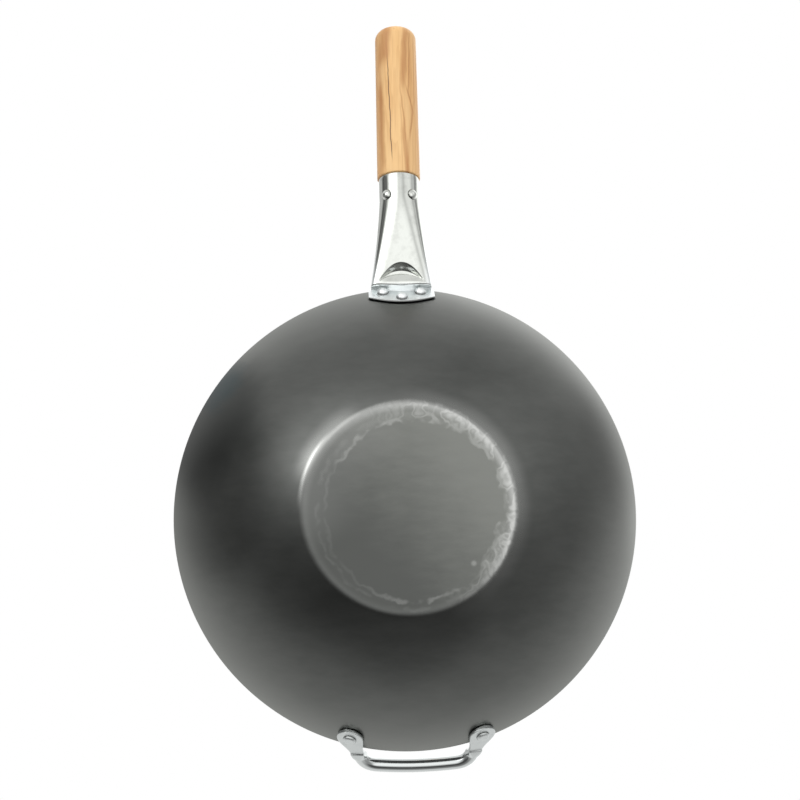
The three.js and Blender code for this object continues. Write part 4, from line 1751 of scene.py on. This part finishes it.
@dataclass
class HelperHandle(Assembly):
    """The loop opposite the long handle, with its rivets."""

    steel: bpy.types.Material | None = None
    turn: float = math.radians(1.7)
    skew: float = 1.9 * MM
    rod: float = 5.25 * MM
    reach: float = 13.55 * MM
    rise: float = 16.5 * MM
    bar: float = 86 * MM
    bow: float = 3.7 * MM
    corner: float = 13 * MM
    rivet_radius: float = 5.1 * MM
    rivet_dome: float = 2.2 * MM
    rivet_flat: float = 2.8 * MM
    rivet_spread: float = 99 * MM
    rivet_depth: float = 11.5 * MM
    tab_radius: float = 10 * MM
    tab_thickness: float = 3 * MM
    tab_length: float = 19 * MM
    tab_lean: float = math.radians(25)
    tab_step: float = 8 * MM
    face_step: float = 0.7 * MM
    face_step_length: float = 1 * MM
    corner_pull: float = 0.7
    flat_squareness: float = 8
    round_squareness: float = 2
    sides: int = 64
    end_points: int = 15
    tab_steps: int = 16
    corner_points: int = 49
    bar_steps: int = 32

    @cached_property
    def tabs(self) -> list["HelperTab"]:
        """The left and the right tab, laid out on the +X side."""
        return [HelperTab(self, 1), HelperTab(self, -1)]

    @cached_property
    def bar_middle(self) -> np.ndarray:
        """Middle of the bar, laid out on the +X side."""
        return np.array([self.side.rim_radius + self.reach, 0, self.side.depth + self.rise])

    @cached_property
    def loop_direction(self) -> np.ndarray:
        """Direction from the tabs to the bar."""
        return unit(self.bar_middle - (self.tabs[0].middle + self.tabs[1].middle) / 2)

    @cached_property
    def bar_direction(self) -> np.ndarray:
        """Direction of the bar, from the right tab to the left one."""
        return unit(self.tabs[0].middle - self.tabs[1].middle)

    def placed(self, vectors: np.ndarray) -> np.ndarray:
        """Turns vectors from the +X side to the helper handle's own place.

        Args:
            vectors: One vector in each row.

        Returns:
            The turned vectors.
        """
        angle = math.pi - self.turn
        cosine, sine = math.cos(angle), math.sin(angle)
        return vectors @ np.array([[cosine, sine, 0], [-sine, cosine, 0], [0, 0, 1]])

    def pieces(self) -> Iterator[bpy.types.Object]:
        """Builds the loop and its rivets.

        Yields:
            The pieces, one by one.
        """
        left, right = (tab.path() for tab in self.tabs)
        *vectors, squareness = np.split(np.vstack([left, right[-2::-1]]), PATH_COLUMNS, axis=1)
        centre, wide, thick = (self.placed(columns) for columns in vectors)
        mesh = points_mesh("helper_handle_rod", centre, wide=wide, thick=thick, squareness=squareness[:, 0])
        loop = SweepTool().run(mesh, self.steel, Sides=self.sides)
        yield self.set_in_frame("helper_handle_rod", loop, Slot.STEEL, ["helper_handle"])
        stack = self.gap + self.tab_thickness
        rivet = RivetShape(self.rivet_radius, self.rivet_dome, stack, self.side.wall, flat=self.rivet_flat)
        seats = [tuple(self.placed(np.array(tab.seat))) for tab in self.tabs]
        rivets = rivet.set_on("helper_rivets", seats, self.steel)
        nodes = ["helper_rivet_left", "helper_rivet_right"]
        yield self.set_in_frame("helper_rivets", rivets, Slot.STEEL, nodes)


class HelperTab:
    """One flattened end of the helper handle and the half of the rod that leaves it."""

    def __init__(self, handle: HelperHandle, side: int) -> None:
        """Seats the tab on the bowl.

        Args:
            handle: The helper handle.
            side: 1 for the left tab, -1 for the right one.
        """
        self.handle = handle
        self.side = side
        depth = handle.rivet_depth + side * handle.skew
        self.seat = handle.side.seat(depth, side * handle.rivet_spread / 2)
        place, self.normal = self.seat
        sideways = unit(np.array([-place[1], place[0], 0]))
        up = np.cross(self.normal, sideways)
        lean = side * handle.tab_lean
        self.along = up * math.cos(lean) + np.cross(self.normal, up) * math.sin(lean)
        self.middle = place + self.normal * (handle.gap + handle.tab_thickness / 2)

    def tab_rows(self) -> list[np.ndarray]:
        """Path over the tab.

        Returns:
            Rows of centre, wide, thick and squareness.
        """
        handle = self.handle
        wide = np.cross(self.along, self.normal) * self.side
        thick = self.normal * handle.tab_thickness / 2
        angle = np.linspace(0, math.pi / 2, handle.end_points)
        share = steps(0, 1, handle.tab_steps)
        narrowed = mixed(handle.tab_radius, handle.rod, smooth(share, 0, 1))
        distances = np.hstack([-handle.tab_radius * np.cos(angle), handle.tab_length * share])
        widths = np.hstack([handle.tab_radius * np.sin(angle), narrowed])
        return [
            np.hstack([self.middle + self.along * distance, wide * width, thick, handle.flat_squareness])
            for distance, width in zip(distances, widths)
        ]

    def rod_line(self) -> np.ndarray:
        """Line of half of the rod.

        Returns:
            Points from the tab, round the corner and along the bar to its middle.
        """
        handle = self.handle
        start = self.middle + self.along * handle.tab_length
        crown_share = 2 * handle.corner / handle.bar
        outward = handle.loop_direction
        half_bar = handle.bar_direction * self.side * handle.bar / 2
        corner = handle.bar_middle - outward * handle.bow + half_bar
        crown = handle.bar_middle + outward * handle.bow * (1 - crown_share) / (1 + crown_share)
        bar_start = mixed(corner, crown, crown_share)
        pulled = (mixed(end, corner, handle.corner_pull) for end in (start, bar_start))
        bend = [start, *pulled, bar_start]
        turn = [bezier(bend, share) for share in np.linspace(0, 1, handle.corner_points)]
        bar = rounded(bar_start, mixed(bar_start, crown, 0.5), handle.bar_middle, handle.bar_steps)
        return np.vstack([turn, bar])

    def rod_rows(self) -> list[np.ndarray]:
        """Path over half of the rod, which swells out of the tab.

        Returns:
            Rows of centre, wide, thick and squareness.
        """
        handle, line = self.handle, self.rod_line()
        last = len(line) - 1
        travelled = np.cumsum(np.linalg.norm(np.diff(line, axis=0), axis=1))
        rows = []
        for i in range(1, last + 1):
            tangent = unit(line[i + 1] - line[i - 1]) if i < last else -self.side * handle.bar_direction
            swell = smooth(travelled[i - 1], 0, handle.tab_step)
            level = self.normal * [1, 1 - i / last, 1]
            thick = unit(level - tangent * (level @ tangent))
            half_tab = handle.tab_thickness / 2
            face = half_tab + handle.face_step * smooth(travelled[i - 1], 0, handle.face_step_length)
            back = mixed(half_tab, 2 * handle.rod - half_tab - handle.face_step, swell)
            rows.append(np.hstack([
                line[i] + thick * (face - back) / 2,
                np.cross(tangent, thick) * self.side * handle.rod,
                thick * (face + back) / 2,
                mixed(handle.flat_squareness, handle.round_squareness, swell),
            ]))
        return rows

    def path(self) -> np.ndarray:
        """All rows from the tab's free end to the middle of the bar."""
        return np.array(self.tab_rows() + self.rod_rows())


@dataclass(frozen=True)
class Patch:
    """A soft patch of the studio's surroundings.

    The polar angle is from straight down, and the turn goes from +Y through -X, all in degrees.
    """

    polar: float
    turn: float
    core: float
    edge: float
    gain: float

    def light(self, graph: Graph, direction: Wire) -> Wire:
        """Light of the patch in a direction.

        Args:
            graph: The world's graph.
            direction: The direction.

        Returns:
            The light.
        """
        polar, turn = math.radians(self.polar), math.radians(self.turn)
        flat = math.sin(polar)
        centre = (-flat * math.sin(turn), flat * math.cos(turn), -math.cos(polar))
        edge, core = (math.cos(math.radians(angle)) for angle in (self.edge, self.core))
        return graph.dot(direction, centre).ramp(edge, core, 0, self.gain)


@dataclass(frozen=True)
class Lamp:
    """A square soft lamp that faces the middle of the wok: its place, its size and its power in watts."""

    name: str
    place: Place
    size: float
    power: float

    def hang(self) -> None:
        """Hangs the lamp."""
        data = bpy.data.lights.new(self.name, "AREA")
        data.size = self.size
        data.energy = self.power
        lamp = bpy.data.objects.new(self.name, data)
        lamp.location = self.place
        lamp.rotation_euler = (-Vector(self.place)).to_track_quat("-Z", "Y").to_euler()
        bpy.context.scene.collection.objects.link(lamp)


@dataclass
class Studio:
    """Floor, surroundings, lamp and camera."""

    floor_radius: float = 4.0
    floor_drop: float = 0.3 * MM
    floor_segments: int = 96
    lamp: Lamp = Lamp("lamp_above", (0.6, 0.8, 2.0), 3.0, 18.0)
    aim: Place = (90.88 * MM, -2.49 * MM, 95 * MM)
    distance: float = 1.7
    tilt_along: float = math.radians(7.113)
    tilt_across: float = math.radians(1.398)
    roll: float = math.radians(-1.04)
    focal_pixels: float = 2199.7
    frame_pixels: float = 800.0
    brightness: float = 1.15
    plain_level: float = 0.6
    patches: tuple[Patch, ...] = (
        Patch(180, 0, 68, 98, 0.27),
        Patch(8, 330, 14, 40, 0.7),
        Patch(54, 212, 3, 11, 2.0),
        Patch(50, 225, 10, 32, 1.15),
        Patch(56, 270, 10, 28, 0.28),
        Patch(57, 345, 8, 22, 0.15),
        Patch(64, 318, 8, 26, 0.4),
        Patch(72, 96, 10, 34, 0.22),
        Patch(46, 95, 16, 46, -0.6),
        Patch(62, 30, 8, 30, -0.25),
        Patch(61, 152, 10, 30, -0.42),
        Patch(94, 189, 19, 30, -0.47),
        Patch(112, 206, 8, 20, -0.25),
        Patch(148, 196, 12, 28, -0.3),
        Patch(114, 340, 9, 20, -0.5),
        Patch(88, 2, 8, 18, -0.24),
        Patch(108, 266, 10, 30, 0.1),
        Patch(116, 14, 10, 24, 0.1),
    )
    darkest: float = 0.08

    def build(self) -> None:
        """Builds the studio."""
        self.lay_floor()
        self.light_surroundings()
        self.lamp.hang()
        self.set_camera()
        bpy.context.scene.view_settings.view_transform = "Standard"

    def lay_floor(self) -> None:
        """Lays the round floor just under the base."""
        mesh = bpy.data.meshes.new("floor")
        work = bmesh.new()
        segments, radius = self.floor_segments, self.floor_radius
        bmesh.ops.create_circle(work, cap_ends=True, segments=segments, radius=radius)
        bmesh.ops.translate(work, verts=work.verts, vec=(0, 0, -self.floor_drop))
        work.to_mesh(mesh)
        work.free()
        mesh.materials.append(FloorPaint().material())
        floor = bpy.data.objects.new("floor", mesh)
        bpy.context.scene.collection.objects.link(floor)
        floor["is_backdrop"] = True

    def light_surroundings(self) -> None:
        """Paints the surroundings: a plain level with soft boxes and dark cards, white where seen."""
        world = bpy.data.worlds.new("studio")
        world.use_nodes = True
        world.node_tree.nodes.clear()
        bpy.context.scene.world = world
        graph = Graph(world.node_tree)
        direction = graph.add("ShaderNodeTexCoord", output="Generated")
        level = sum((patch.light(graph, direction) for patch in self.patches), self.plain_level)
        level = level.math("MAXIMUM", self.darkest) * self.brightness
        seen = graph.add("ShaderNodeLightPath", output="Is Camera Ray")
        level = level * (1 - seen) + seen
        background = graph.add("ShaderNodeBackground", inputs={"Color": level, "Strength": 1.0})
        graph.add("ShaderNodeOutputWorld", inputs={"Surface": background})

    def set_camera(self) -> None:
        """Sets the camera at the photo's angle, under the wok."""
        forward = Vector((math.sin(self.tilt_along), math.sin(self.tilt_across), 1)).normalized()
        up = Vector((math.cos(self.roll), -math.sin(self.roll), 0))
        up = (up - forward * up.dot(forward)).normalized()
        turn = Matrix((forward.cross(up), up, -forward)).transposed().to_4x4()
        data = bpy.data.cameras.new("photo_camera")
        data.sensor_fit = "HORIZONTAL"
        data.lens = self.focal_pixels * data.sensor_width / self.frame_pixels
        camera = bpy.data.objects.new("photo_camera", data)
        camera.matrix_world = Matrix.Translation(Vector(self.aim) - forward * self.distance) @ turn
        bpy.context.scene.collection.objects.link(camera)
        bpy.context.scene.camera = camera


def main() -> None:
    """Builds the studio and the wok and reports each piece."""
    logging.basicConfig(level=logging.INFO, format="%(name)s: %(message)s")
    LOG.info("frame with %d nodes", len(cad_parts))
    Studio().build()
    side = BowlSide()
    steel = PolishedSteel().material()
    for assembly in (WokBody(side), LongHandle(side, steel=steel), HelperHandle(side, steel=steel)):
        for piece in assembly.pieces():
            LOG.info("%s has %d faces", piece.name, len(piece.data.polygons))
    boxes = {"cad": cad_box, "visual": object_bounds()}
    {name: [list(corner) for corner in box] for name, box in boxes.items()}


if __name__ == "__main__":
    main()
